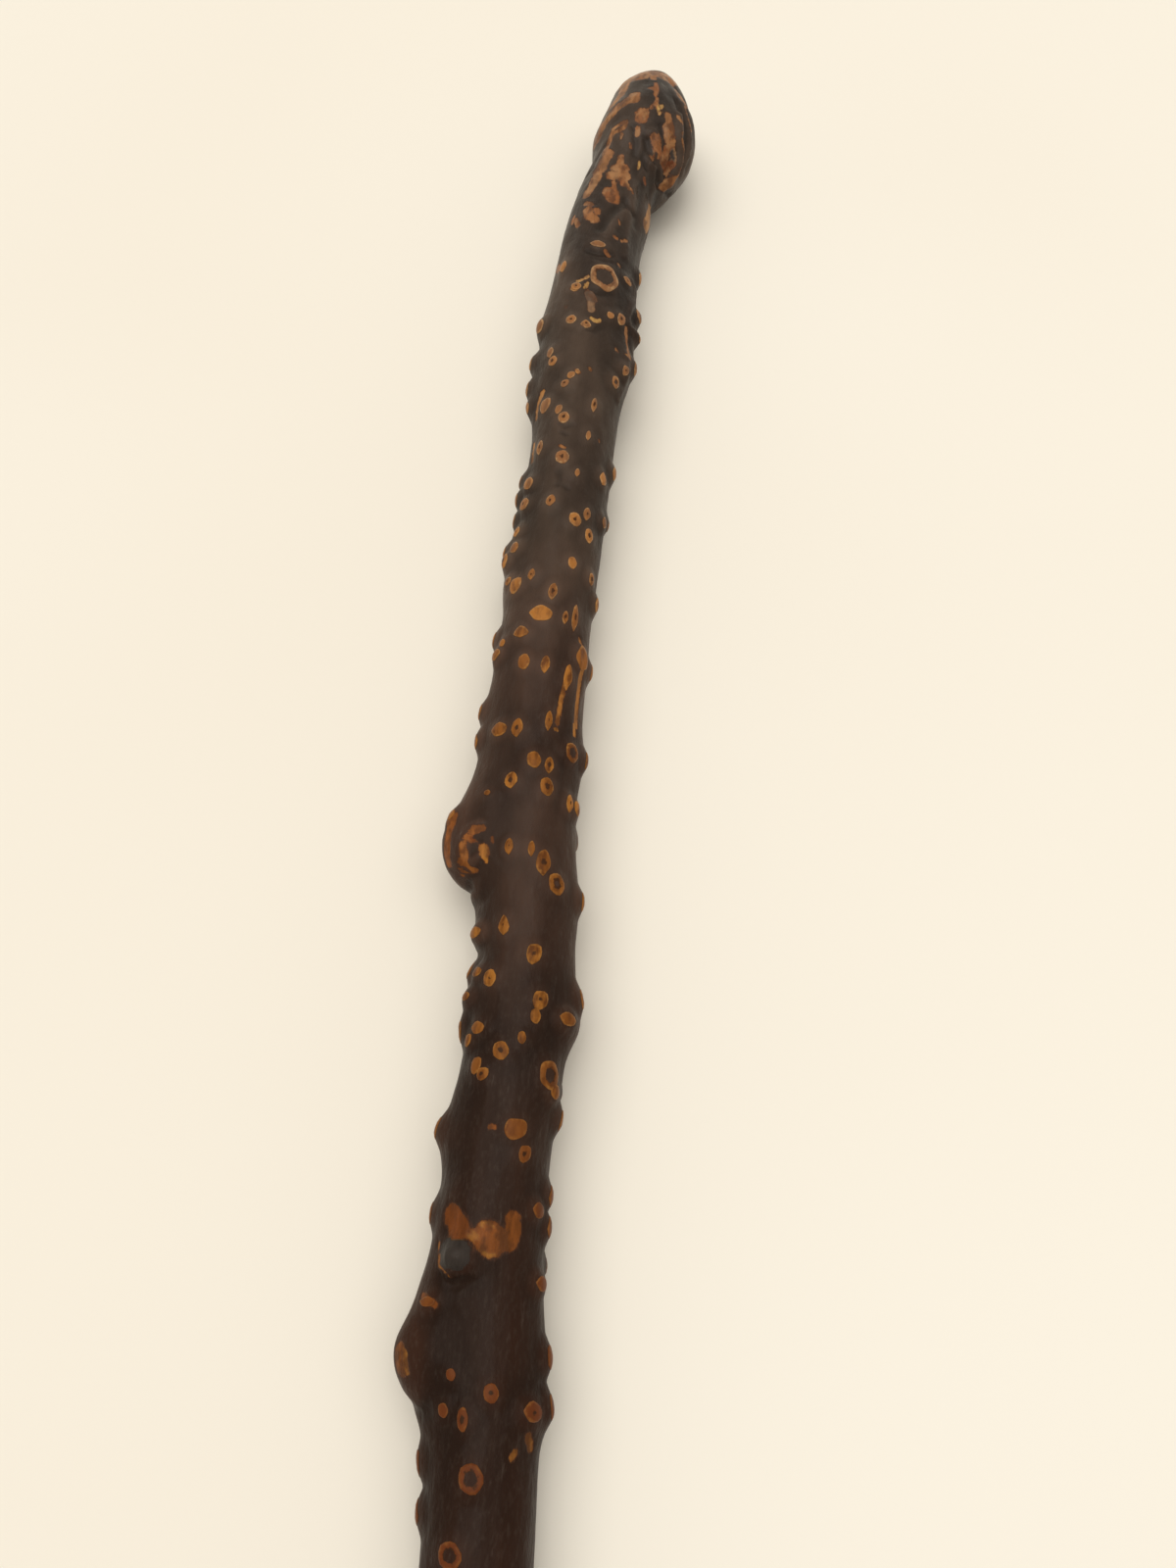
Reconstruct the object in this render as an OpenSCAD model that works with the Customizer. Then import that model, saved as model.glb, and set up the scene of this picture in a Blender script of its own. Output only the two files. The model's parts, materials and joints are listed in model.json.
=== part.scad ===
// A knobbed thorn-wood walking stick with its bark on, lying on a table as it is kept.
// The crown of the knob points along +X and the foot along -X. Sizes are in millimetres.
// A place on the stick is a distance from the crown and an angle round the shaft: 0 is up, and
// positive turns towards -Y, which is the right-hand side seen from the foot.

/* [Stick] */
// Length of the whole stick, from the crown of the knob to the sole of the foot
stick_length = 900; // [820:5:1000]
// Diameter of the shaft below the knob, over the bark
shaft_d = 26; // [22:0.5:30]
// Diameter of the shaft where the ferrule begins, over the bark
foot_d = 20; // [19.6:0.1:22]
// Thickness of the bark
bark_t = 1.2; // [0.8:0.1:2]

/* [Root knob] */
// Widest diameter of the knob
knob_d = 35; // [32:0.5:44]
// Distance from the crown to the widest place of the knob
knob_belly = 30; // [26:1:38]
// Distance from the crown to the neck, where the knob runs into the shaft
knob_length = 64; // [56:1:80]

/* [Thorn stubs] */
// Height of a trimmed stub above the bark
stub_rise = 1.2; // [0.6:0.1:1.6]
// Depth of a stub's root in the wood below the bark
stub_grip = 1.8; // [1:0.1:2.5]
// Distance along the shaft from one spiral stub to the next
stub_spacing = 5; // [4:0.5:12]

/* [Ferrule] */
// Length of the brass ferrule
ferrule_length = 34; // [26:1:45]
// Outside diameter of the ferrule
ferrule_d = 19; // [17:0.5:19.5]
// Wall of the ferrule
ferrule_wall = 1; // [0.6:0.1:1.5]
// How far the rolled bead at the ferrule's mouth stands proud of the wall
bead_rise = 1; // [0.6:0.1:1.5]
// Width of that bead
bead_width = 3; // [2:0.5:4]
// Height of the steel tip that stands out of the ferrule
tip_height = 3; // [2:0.5:5]
// Diameter of the steel tip below the ferrule
tip_d = 18; // [16:0.5:19]
// Depth of the steel tip's plug inside the ferrule
tip_plug = 5; // [3:0.5:8]
// Rounding of the steel tip's edge
tip_edge = 1.5; // [0.5:0.25:1.75]
// Diameter of a ferrule pin
pin_d = 2.4; // [1.6:0.1:3]
// Length of a ferrule pin
pin_length = 7; // [4:0.5:8]
// Distance of the pins from the ferrule's mouth
pin_setback = 9; // [6:0.5:12]

/* [Hidden] */
$fn = 48;
sides = 20;
cap_rings = 6;
ring_step = 7;
lower_ring_step = 12;
arc_steps = 8;
knob_r = knob_d / 2;
shaft_r = shaft_d / 2;
foot_r = foot_d / 2;
ferrule_r = ferrule_d / 2;
bead_r = ferrule_r + bead_rise;
tenon_r = ferrule_r - ferrule_wall;
tip_r = tip_d / 2;
stub_root = bark_t + stub_grip;
shoulder = stick_length - ferrule_length - tip_height;
straight_foot = 20;
taper_power = 1.5;
crown_power = 0.55;
rest_burl_at = 470;
rest_burl_rise = 2.2;
placed_to = 468;
spiral_from = 110;
back_angle = 100;
under_angle = 140;
burl_clear = 25;
low_from = shoulder - 220;
spiral_length = [3, 6];
spiral_width = [2, 4];
golden_turn = 137.5;
angle_jitter = 20;
dome_ratio = 1.5;

// Sideways bend of the shaft: distance from the crown, shift towards +Y
bends = [[0, -20], [18, -18.8], [38, -15.5], [60, -8.5], [85, -4.8], [130, -2.2], [175, -0.6], [210, 1],
         [260, 3.2], [290, 3.2], [340, 1], [365, 2], [395, 3.4], [440, 1.5], [480, 0.3], [shoulder - 240, -5],
         [shoulder - 110, -8], [shoulder - straight_foot, -9], [stick_length, -9]];

// Height of the axis where the stick lies on its knob, on the burl under its middle and on the bead
heights = [[0, knob_r], [knob_belly, knob_r], [rest_burl_at, girth(rest_burl_at) + rest_burl_rise],
           [shoulder - straight_foot, bead_r], [stick_length, bead_r]];

// Swellings: distance from the crown, angle, rise, half length, half width in degrees
burls = [[38, 80, 2, 14, 45], [30, -70, 0.8, 12, 40], [72, 80, 1.8, 12, 40], [122, 0, 1.6, 38, 400],
         [120, 88, 2, 9, 30], [125, -85, 1, 10, 30], [142, 85, 3, 10, 30], [155, -85, 3, 9, 30],
         [196, -80, 2, 6, 22], [218, -80, 3, 9, 24], [230, -80, 2, 7, 22], [252, -80, 2, 8, 22],
         [255, 60, 1.5, 9, 25], [270, -85, 2.5, 7, 20], [283, 85, 2, 7, 20],
         [285, -85, 3, 16, 32], [302, -85, 6.5, 9, 36], [313, -85, 7, 6.5, 36],
         [324, 85, 1.5, 8, 22], [350, 85, 2, 8, 22], [345, -85, 1.5, 7, 22], [381, -85, 2, 9, 25],
         [370, 60, 1.5, 8, 25], [405, -34, 3, 10, 24], [402, -80, 1.5, 8, 25], [428, -85, 7, 13, 34],
         [432, 88, 1.5, 9, 25], [rest_burl_at, 180, rest_burl_rise, 12, 40],
         [shoulder - 340, 70, 2.5, 11, 30], [shoulder - 290, -60, 3, 13, 32],
         [shoulder - 215, 30, 2.5, 11, 30], [shoulder - 165, -95, 2.5, 10, 30],
         [shoulder - 90, 80, 2, 9, 28]];

// Stubs that stand at their own places: distance from the crown, angle, length along the shaft, width
knots = [[100, 2, 3, 5], [108, -41, 5, 3], [114, 17, 11, 9], [110, 50, 3, 4], [118, -13, 5, 5],
         [129, 46, 5, 5], [130, 31, 3, 3], [134, -16, 4, 4], [136, 3, 3, 3], [130, -66, 5, 5],
         [145, -41, 4, 3], [149, -36, 4, 3], [147, 60, 4, 4], [154, 50, 4, 4], [158, -12, 5, 4],
         [161, -54, 5, 3], [166, -42, 6, 6], [167, 25, 5, 2], [171, -21, 5, 3], [173, -10, 5, 4],
         [178, 23, 4, 2], [182, -41, 5, 3], [180, -62, 6, 3], [188, -6, 5, 4], [191, 54, 5, 4],
         [193, 15, 3, 2], [196, -51, 5, 5], [203, -54, 5, 5], [205, -13, 4, 3], [210, 21, 5, 4],
         [207, 36, 5, 3], [214, 43, 5, 3], [205, 68, 5, 3], [213, -57, 5, 3], [219, -55, 4, 3],
         [225, 25, 4, 3], [230, -24, 4, 2], [227, 57, 5, 2], [233, -48, 6, 7], [236, 5, 6, 3],
         [244, -5, 6, 7], [244, 25, 5, 2], [242, 38, 10, 2], [249, -27, 4, 5], [253, 53, 8, 5],
         [259, -18, 5, 4], [260, 8, 6, 3], [262, 36, 8, 3], [277, 18, 6, 2], [279, -41, 5, 5],
         [279, -18, 6, 4], [284, 51, 6, 5], [289, 4, 5, 4], [290, 22, 5, 3], [295, -20, 5, 4],
         [296, 21, 6, 4], [299, 54, 5, 3], [299, 68, 5, 3], [309, -58, 9, 4], [314, -45, 5, 4],
         [313, -19, 5, 2], [314, 6, 4, 2], [317, 19, 7, 4], [322, 40, 6, 6], [334, -22, 5, 3],
         [334, -62, 4, 5], [341, 13, 5, 5], [345, -56, 3, 3], [347, -34, 5, 4], [351, -64, 3, 3],
         [353, 24, 7, 5], [355, 59, 4, 5], [359, -42, 3, 4], [362, -56, 4, 4], [361, 11, 3, 2],
         [365, -9, 5, 4], [369, -32, 5, 6], [369, 52, 6, 7], [382, 14, 5, 6], [387, 29, 4, 4],
         [405, 2, 7, 8], [404, 28, 7, 5], [406, -32, 13, 7], [399, 55, 4, 4], [414, 67, 4, 4],
         [418, -54, 3, 4], [432, -31, 3, 2], [435, 10, 4, 3], [439, -38, 3, 2], [440, -17, 4, 2],
         [439, 54, 4, 5], [445, 57, 4, 4], [447, 37, 3, 3], [451, -6, 5, 5], [464, -21, 5, 5],
         [301, -84, 6, 4], [311, -92, 14, 5], [429, -78, 8, 5]];

// Stubs along the two sides: the angle, the size and the distances from the crown
side_angle = 83;
side_size = [5, 4];
left_places = [125, 142, 153, 161, 190, 197, 205, 217, 226, 247, 254, 270, 279, 333, 343, 351, 359, 382,
               400, 449, 458];
right_places = [100, 118, 127, 141, 149, 184, 232, 255, 283, 303, 324, 348, 355, 377, 395, 402, 429, 438];

// Monotone cubic through stations [place, value], straight where neighbours are equal
function span(t, s, i = 0) = i >= len(t) - 2 || s < t[i + 1][0] ? i : span(t, s, i + 1);
function secant(t, i) = (t[i + 1][1] - t[i][1]) / (t[i + 1][0] - t[i][0]);
function mean_slope(a, b) = a * b <= 0 ? 0 : 2 * a * b / (a + b);
function slope(t, i) = i == 0 ? secant(t, 0) : i == len(t) - 1 ? secant(t, i - 1)
    : mean_slope(secant(t, i - 1), secant(t, i));
function hermite(u, h, p, q, m, n) = (2 * u ^ 3 - 3 * u ^ 2 + 1) * p + (3 * u ^ 2 - 2 * u ^ 3) * q
    + (u ^ 3 - 2 * u ^ 2 + u) * h * m + (u ^ 3 - u ^ 2) * h * n;
function through(t, s) = let (i = span(t, s), h = t[i + 1][0] - t[i][0])
    hermite((s - t[i][0]) / h, h, t[i][1], t[i + 1][1], slope(t, i), slope(t, i + 1));

// Radius of the stick without its swellings: an egg-shaped crown, a neck and an even taper
function ease(u) = (1 - cos(180 * u)) / 2;
function taper(s) = let (u = max(0, s - knob_length) / (shoulder - knob_length))
    shaft_r + (foot_r - shaft_r) * u ^ taper_power;
function crown(s, inset) = (knob_r - inset)
    * max(0, 1 - ((knob_belly - s) / (knob_belly - inset)) ^ 2) ^ crown_power;
function neck(s) = knob_r - (knob_r - taper(s)) * ease((s - knob_belly) / (knob_length - knob_belly));
function girth(s, inset = 0) = s < knob_belly ? crown(s, inset)
    : s < knob_length ? neck(s) - inset : taper(s) - inset;

// Rise of the swellings at a place, fading to nothing at the crown
function turn(a) = a - 360 * round(a / 360);
function bell(u, v) = exp(-u * u - v * v);
function swell(s, a) = min(1, 2 * s / knob_belly)
    * [for (b = burls) b[2] * bell((s - b[0]) / b[3], turn(a - b[1]) / b[4])] * [for (b = burls) 1];

// Axis of the stick, the directions across it, and a point and a normal of the bark
function centre(s) = [-s, through(bends, s), through(heights, s)];
function unit(v) = v / norm(v);
function along(s) = unit(centre(s + 1) - centre(s - 1));
function across(s) = unit(cross([0, 0, 1], along(s)));
function outward(s, a) = cos(a) * cross(along(s), across(s)) + sin(a) * across(s);
function bark_point(s, a, inset = 0) = centre(s) + (girth(s, inset) + swell(s, a)) * outward(s, a);
function bark_normal(s, a) = unit(cross(bark_point(s + 1, a) - bark_point(s - 1, a),
                                        bark_point(s, a + 2) - bark_point(s, a - 2)));

// Rings of a skin, close together over the crown, and its points from the crown down
function spread(from, to, step) = let (n = ceil((to - from) / step))
    [for (i = [1:n]) from + (to - from) * i / n];
shaft_places = concat(spread(knob_belly, placed_to, ring_step), spread(placed_to, shoulder, lower_ring_step));
rings = cap_rings + len(shaft_places);
function cap_places(inset) = [for (i = [1:cap_rings])
    knob_belly - (knob_belly - inset) * cos(90 * i / cap_rings)];
function skin(inset) = concat([centre(inset)],
    [for (s = concat(cap_places(inset), shaft_places)) for (j = [0:sides - 1])
        bark_point(s, 360 * j / sides, inset)]);

// Triangles of a skin whose first point is base, seen from outside
function spot(base, i, j) = base + 1 + i * sides + j % sides;
function skin_faces(base) = concat(
    [for (j = [0:sides - 1]) [base, spot(base, 0, j + 1), spot(base, 0, j)]],
    [for (i = [0:rings - 2]) for (j = [0:sides - 1])
        each [[spot(base, i, j), spot(base, i, j + 1), spot(base, i + 1, j)],
              [spot(base, i, j + 1), spot(base, i + 1, j + 1), spot(base, i + 1, j)]]]);

outer_skin = skin(0);
inner_skin = skin(bark_t);
core_end = [for (j = [0:sides - 1]) spot(0, rings - 1, j)];
inner_base = len(outer_skin);
inside_faces = [for (f = skin_faces(inner_base)) [f[0], f[2], f[1]]];
bark_end = [for (j = [0:sides - 1]) let (
    a = spot(0, rings - 1, j),
    b = spot(0, rings - 1, j + 1),
    c = spot(inner_base, rings - 1, j),
    d = spot(inner_base, rings - 1, j + 1)) each [[a, b, c], [b, d, c]]];

// The stick is moved so that it lies on z = 0 with its box centred over the origin
side_y = [for (p = outer_skin) p[1]];
lowest = min([for (p = outer_skin) p[2]]);
rest_shift = [stick_length / 2, -(min(side_y) + max(side_y)) / 2, -min(0, lowest)];

// Spiral stubs, where no stub has its own place and none meets the table
function chance(i, k) = let (v = 437.5 * sin(127.1 * i + 311.7 * k)) v - floor(v);
function between(range, u) = range[0] + (range[1] - range[0]) * u;
spiral = [for (s = [spiral_from:stub_spacing:shoulder - straight_foot]) let (i = round(s / stub_spacing))
    [s, turn(golden_turn * i + angle_jitter * chance(i, 1)),
     between(spiral_length, chance(i, 2)), between(spiral_width, chance(i, 3))]];
function is_free(k) = (k[0] > placed_to || abs(k[1]) > back_angle)
    && abs(k[0] - rest_burl_at) > burl_clear && (k[0] < low_from || abs(k[1]) < under_angle);
stubs = concat(
    knots,
    [for (s = left_places) concat([s, -side_angle], side_size)],
    [for (s = right_places) concat([s, side_angle], side_size)],
    [for (k = spiral) if (is_free(k)) k]);

// Puts a thing on the bark, its z along the bark's normal and its x along the shaft
module on_bark(s, a) {
    z = bark_normal(s, a);
    x = unit(along(s) - (along(s) * z) * z);
    y = cross(z, x);
    p = bark_point(s, a);
    multmatrix([[x[0], y[0], z[0], p[0]], [x[1], y[1], z[1], p[1]], [x[2], y[2], z[2], p[2]]]) children();
}

// Almond of two arcs, or a disc where it is as wide as it is long
module almond(length, width, height) {
    long = max(length, width) / 2;
    short = min(length, width) / 2;
    arc_r = (long ^ 2 + short ^ 2) / (2 * short);
    rotate([0, 0, length < width ? 90 : 0])
        intersection_for (side = long > short ? [-1, 1] : [0])
            translate([0, side * (arc_r - short), 0]) cylinder(r = arc_r, h = height);
}

module stub(length, width) {
    dome_r = dome_ratio * max(length, width);
    intersection() {
        translate([0, 0, -stub_root]) almond(length, width, stub_root + stub_rise);
        translate([0, 0, stub_rise - dome_r]) sphere(r = dome_r);
    }
}

module stub_sockets() {
    for (k = stubs)
        on_bark(k[0], k[1]) translate([0, 0, -stub_root]) almond(k[2], k[3], 2 * stub_root);
}

// Puts a thing at the ferrule's mouth, its z along the foot towards the sole
module at_foot() {
    translate(centre(shoulder)) rotate([0, -90, 0]) children();
}

module pin_shanks(outer_r) {
    for (a = [90, 270])
        rotate([0, 0, a]) translate([ferrule_r - pin_length, 0, pin_setback])
            rotate([0, 90, 0]) cylinder(d = pin_d, h = outer_r - ferrule_r + pin_length);
}

module wood_core() {
    color([0.66, 0.45, 0.26]) translate(rest_shift) difference() {
        union() {
            polyhedron(points = inner_skin, faces = concat(skin_faces(0), [core_end]));
            at_foot() cylinder(r = tenon_r, h = ferrule_length - tip_plug);
        }
        stub_sockets();
        at_foot() pin_shanks(ferrule_r);
    }
}

module bark() {
    color([0.17, 0.13, 0.11]) translate(rest_shift) difference() {
        polyhedron(
            points = concat(outer_skin, inner_skin),
            faces = concat(skin_faces(0), inside_faces, bark_end));
        stub_sockets();
    }
}

module thorn_stubs() {
    color([0.68, 0.42, 0.2]) translate(rest_shift)
        for (k = stubs)
            on_bark(k[0], k[1]) stub(k[2], k[3]);
}

module ferrule() {
    bead = [for (i = [0:arc_steps])
        [ferrule_r + bead_rise * sin(180 * i / arc_steps), bead_width * ease(i / arc_steps)]];
    color([0.75, 0.58, 0.28]) translate(rest_shift) at_foot() difference() {
        rotate_extrude()
            polygon(concat([[tenon_r, 0]], bead, [[ferrule_r, ferrule_length], [tenon_r, ferrule_length]]));
        pin_shanks(bead_r);
    }
}

module ferrule_pins() {
    color([0.8, 0.65, 0.35]) translate(rest_shift) at_foot() intersection() {
        pin_shanks(bead_r);
        cylinder(r = ferrule_r, h = ferrule_length);
    }
}

module ferrule_tip() {
    rounding = [for (i = [0:arc_steps]) let (a = 90 * i / arc_steps)
        [tip_r - tip_edge * (1 - cos(a)), tip_height - tip_edge * (1 - sin(a))]];
    color([0.6, 0.6, 0.62]) translate(rest_shift) at_foot() translate([0, 0, ferrule_length])
        rotate_extrude() polygon(concat([[0, -tip_plug], [tenon_r, -tip_plug], [tenon_r, 0], [tip_r, 0]],
                                        rounding, [[0, tip_height]]));
}

wood_core();
bark();
thorn_stubs();
ferrule();
ferrule_pins();
ferrule_tip();
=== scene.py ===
# %% [markdown]
# # Finishing a shillelagh
#
# The construction model gives this knobbed walking stick its true size: a core of wood, the bark
# round it, the trimmed thorn stubs that stand out of the bark, and a brass ferrule with its pins and
# its steel tip. In this lesson those plain solids get the surface of a varnished natural stick.
# Nothing on the stick moves, so every piece rides on the one body, "root".

# %% Load the construction model
import json
import math
import random

import bmesh
import bpy
import numpy as np
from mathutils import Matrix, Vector, noise
from mathutils.bvhtree import BVHTree

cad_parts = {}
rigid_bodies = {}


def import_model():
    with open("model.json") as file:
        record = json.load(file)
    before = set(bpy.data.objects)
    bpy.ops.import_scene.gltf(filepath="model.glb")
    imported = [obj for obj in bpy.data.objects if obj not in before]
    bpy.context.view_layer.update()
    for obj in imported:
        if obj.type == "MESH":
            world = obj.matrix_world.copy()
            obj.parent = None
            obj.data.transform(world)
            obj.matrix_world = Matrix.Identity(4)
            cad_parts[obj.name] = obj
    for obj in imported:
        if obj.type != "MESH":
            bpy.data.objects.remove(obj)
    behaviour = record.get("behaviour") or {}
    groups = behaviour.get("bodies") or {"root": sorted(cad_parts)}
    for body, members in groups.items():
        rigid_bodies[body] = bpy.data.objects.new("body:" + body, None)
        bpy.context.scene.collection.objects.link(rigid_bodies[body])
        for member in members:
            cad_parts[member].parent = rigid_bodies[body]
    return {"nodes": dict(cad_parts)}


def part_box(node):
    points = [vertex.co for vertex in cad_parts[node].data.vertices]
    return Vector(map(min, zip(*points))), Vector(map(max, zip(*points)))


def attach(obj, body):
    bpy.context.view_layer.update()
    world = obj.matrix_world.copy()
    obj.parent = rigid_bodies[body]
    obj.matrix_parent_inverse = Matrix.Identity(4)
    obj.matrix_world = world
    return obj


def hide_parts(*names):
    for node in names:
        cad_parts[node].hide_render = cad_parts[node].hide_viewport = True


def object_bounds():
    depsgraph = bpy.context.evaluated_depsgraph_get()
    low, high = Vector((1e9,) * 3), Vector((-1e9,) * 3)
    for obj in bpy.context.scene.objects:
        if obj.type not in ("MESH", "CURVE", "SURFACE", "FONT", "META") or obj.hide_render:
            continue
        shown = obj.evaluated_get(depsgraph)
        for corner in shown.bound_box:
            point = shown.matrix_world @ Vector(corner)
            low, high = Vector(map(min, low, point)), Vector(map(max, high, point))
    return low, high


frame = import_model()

MM = 0.001
cad_low, cad_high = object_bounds()
scene = bpy.context.scene
scene.view_settings.view_transform = "Standard"
print("nodes:", ", ".join(sorted(frame["nodes"])))
print("box in mm:", [round(v / MM, 1) for v in cad_high - cad_low])

# %% [markdown]
# ## The camera
#
# The stick lies on a table, and the camera stands over its upper half and looks down along it towards
# the knob. The lens is a wide one held close, which is why the shaft seems to grow thicker towards
# the lower edge of the picture. Placing the eye in real millimetres above the table, and turning it
# by two plain angles, keeps that perspective.

# %% Place the camera
EYE = Vector((22, -13.8, 301)) * MM
TURN_TO_LEFT = math.radians(3.3)
LOOK_DOWN = math.radians(64)
LONG_SIDE_MM = 36
LENS_MM = 27.05
NEAREST_SEEN = 0.01

camera_data = bpy.data.cameras.new("camera")
camera_data.sensor_fit = "VERTICAL"
camera_data.sensor_height = LONG_SIDE_MM
camera_data.lens = LENS_MM
camera_data.clip_start = NEAREST_SEEN
camera = bpy.data.objects.new("camera", camera_data)
ahead = Vector((math.cos(TURN_TO_LEFT), math.sin(TURN_TO_LEFT), -math.tan(LOOK_DOWN)))
camera.location = EYE
camera.rotation_euler = ahead.to_track_quat("-Z", "Y").to_euler()
scene.collection.objects.link(camera)
scene.camera = camera
print("camera height in mm:", round(EYE.z / MM))

# %% [markdown]
# ## Shader helpers
#
# Every finish below is a small network of nodes, and a few helpers keep the networks short. They
# feed sockets, add a node with its settings and inputs, start a material, and draw patterns and
# blend them. What a socket is fed is either a plain value or the output of another node, so a
# network reads from the pattern down to the shader.


# %% Define helpers for nodes and materials
def feed(tree, socket, value):
    """Gives a socket a plain value, or links another node's output to it."""
    if isinstance(value, bpy.types.NodeSocket):
        tree.links.new(value, socket)
    else:
        socket.default_value = value


def put(tree, kind, inputs=None, **settings):
    node = tree.nodes.new(kind)
    for name, value in settings.items():
        setattr(node, name, value)
    for name, value in (inputs or {}).items():
        feed(tree, node.inputs[name], value)
    return node


def dress(tree, shader, **inputs):
    """Feeds a shader's sockets, with _ for the space in a socket's name."""
    for name, value in inputs.items():
        feed(tree, shader.inputs[name.replace("_", " ")], value)


def start_material(name, **values):
    material = bpy.data.materials.new(name)
    material.use_nodes = True
    shader = material.node_tree.nodes["Principled BSDF"]
    dress(material.node_tree, shader, **values)
    return material, material.node_tree, shader


def rgb(red, green, blue):
    """A colour written as it looks on a screen, 0 to 255, as the linear numbers that a shader takes."""
    def linear(v):
        v /= 255
        return v / 12.92 if v <= 0.04045 else ((v + 0.055) / 1.055) ** 2.4
    return (linear(red), linear(green), linear(blue), 1.0)


print("a mid brown is", [round(v, 3) for v in rgb(120, 80, 50)])


# %% Define helpers for patterns
def object_coordinates(tree):
    return put(tree, "ShaderNodeTexCoord").outputs["Object"]


def along_stick(tree):
    """Object coordinate X in metres, which grows from the foot to the crown."""
    return put(tree, "ShaderNodeSeparateXYZ", {"Vector": object_coordinates(tree)}).outputs["X"]


def pattern(tree, scale, stretch=(1, 1, 1), detail=4.0, roughness=0.55):
    mapping = put(tree, "ShaderNodeMapping", {"Vector": object_coordinates(tree), "Scale": stretch})
    inputs = {"Vector": mapping.outputs["Vector"], "Scale": scale, "Detail": detail, "Roughness": roughness}
    return put(tree, "ShaderNodeTexNoise", inputs).outputs["Fac"]


def attribute(tree, name):
    return put(tree, "ShaderNodeAttribute", attribute_name=name).outputs["Fac"]


def remap(tree, value, low, high, to_low=0.0, to_high=1.0, smooth=False):
    kind = "SMOOTHSTEP" if smooth else "LINEAR"
    inputs = {"Value": value, "From Min": low, "From Max": high, "To Min": to_low, "To Max": to_high}
    return put(tree, "ShaderNodeMapRange", inputs, interpolation_type=kind).outputs["Result"]


def reckon(tree, operation, first, second=0.0):
    node = put(tree, "ShaderNodeMath", operation=operation)
    feed(tree, node.inputs[0], first)
    feed(tree, node.inputs[1], second)
    return node.outputs["Value"]


# Sockets of a Mix node that mixes colours: the share, the two colours, and the result
MIX_SOCKETS, MIX_RESULT = (0, 6, 7), 2


def blend_colours(tree, share, first, second, kind="MIX"):
    node = put(tree, "ShaderNodeMix", data_type="RGBA", blend_type=kind)
    for socket, value in zip(MIX_SOCKETS, (share, first, second)):
        feed(tree, node.inputs[socket], value)
    return node.outputs[MIX_RESULT]


def shade(tree, colour, factor):
    """A colour multiplied by a number or by another colour."""
    return blend_colours(tree, 1.0, colour, factor, "MULTIPLY")


def raised(tree, height, strength, depth, under=None):
    """A surface direction that shows a pattern as relief, over other relief where there is some."""
    inputs = {"Height": height, "Strength": strength, "Distance": depth}
    if under is not None:
        inputs["Normal"] = under
    return put(tree, "ShaderNodeBump", inputs).outputs["Normal"]


print("patterns are stretched, remapped, blended, shaded and raised")

# %% [markdown]
# ## Table and light
#
# The table is a plain cream sheet. Two wide, sun-like lamps light the stick, the stronger one from the
# left, so a weak shadow falls on its right, and a pale sky fills in the rest. The camera and
# reflections see that sky brighter than it lights, so that varnish and metal show a pale room. The
# lamps are set so that a colour renders about as it is written, and the pale ground comes from the
# colour of the sheet.

# %% Lay the table
TABLE_HALF_SIZE = 6.0
table_mesh = bpy.data.meshes.new("table")
table_mesh.from_pydata([(x * TABLE_HALF_SIZE, y * TABLE_HALF_SIZE, 0.0)
                        for x, y in ((-1, -1), (1, -1), (1, 1), (-1, 1))], [], [(0, 1, 2, 3)])
table = bpy.data.objects.new("table", table_mesh)
scene.collection.objects.link(table)
cream, tree, shader = start_material("cream sheet", Roughness=0.8, Specular_IOR_Level=0.1)
cloudy = remap(tree, pattern(tree, 2.0, detail=2.0), 0.3, 0.7)
dress(tree, shader, Base_Color=blend_colours(tree, cloudy, rgb(246, 238, 223), rgb(250, 244, 231)))
table_mesh.materials.append(cream)
print("table:", 2 * TABLE_HALF_SIZE, "m wide")

# %% Hang the lamps
# Each lamp: name, the way to it, how wide it looks in degrees, strength, colour
LAMPS = (("key", (0.25, 0.4, 1.6), 60, 1.3, (1.0, 0.985, 0.955)),
         ("fill", (0.1, -0.5, 1.6), 60, 0.68, (1.0, 0.985, 0.96)))
for name, way, width, strength, colour in LAMPS:
    lamp_data = bpy.data.lights.new(name, "SUN")
    lamp_data.angle = math.radians(width)
    lamp_data.energy = strength
    lamp_data.color = colour
    lamp = bpy.data.objects.new(name, lamp_data)
    lamp.location = way
    lamp.rotation_euler = (-Vector(way)).to_track_quat("-Z", "Y").to_euler()
    scene.collection.objects.link(lamp)

print("lamps:", ", ".join(name for name, *rest in LAMPS))

# %% Light the sky
SKY_STRENGTH = 0.43
SKY_SEEN = 0.93
sky = bpy.data.worlds.new("sky")
sky.use_nodes = True
scene.world = sky
sky_tree = sky.node_tree
rays = put(sky_tree, "ShaderNodeLightPath")
seen = reckon(sky_tree, "MAXIMUM", rays.outputs["Is Camera Ray"], rays.outputs["Is Glossy Ray"])
seen = reckon(sky_tree, "MAXIMUM", seen, rays.outputs["Is Transmission Ray"])
dress(sky_tree, sky_tree.nodes["Background"],
      Color=blend_colours(sky_tree, seen, rgb(252, 247, 238), rgb(255, 248, 233)),
      Strength=remap(sky_tree, seen, 0, 1, SKY_STRENGTH, SKY_SEEN))
print("sky nodes:", len(sky_tree.nodes))

# %% [markdown]
# ## Places on a bent stick
#
# A place on the stick is easiest to say as a maker would: so many millimetres down from the crown,
# and so many degrees round, with 0 on top and positive to the right as seen from the foot. The axis
# bends, so the same few stations that bend the construction model are repeated here. From them comes
# the centre at each distance, and three directions: along the shaft, across it, and up.

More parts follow.
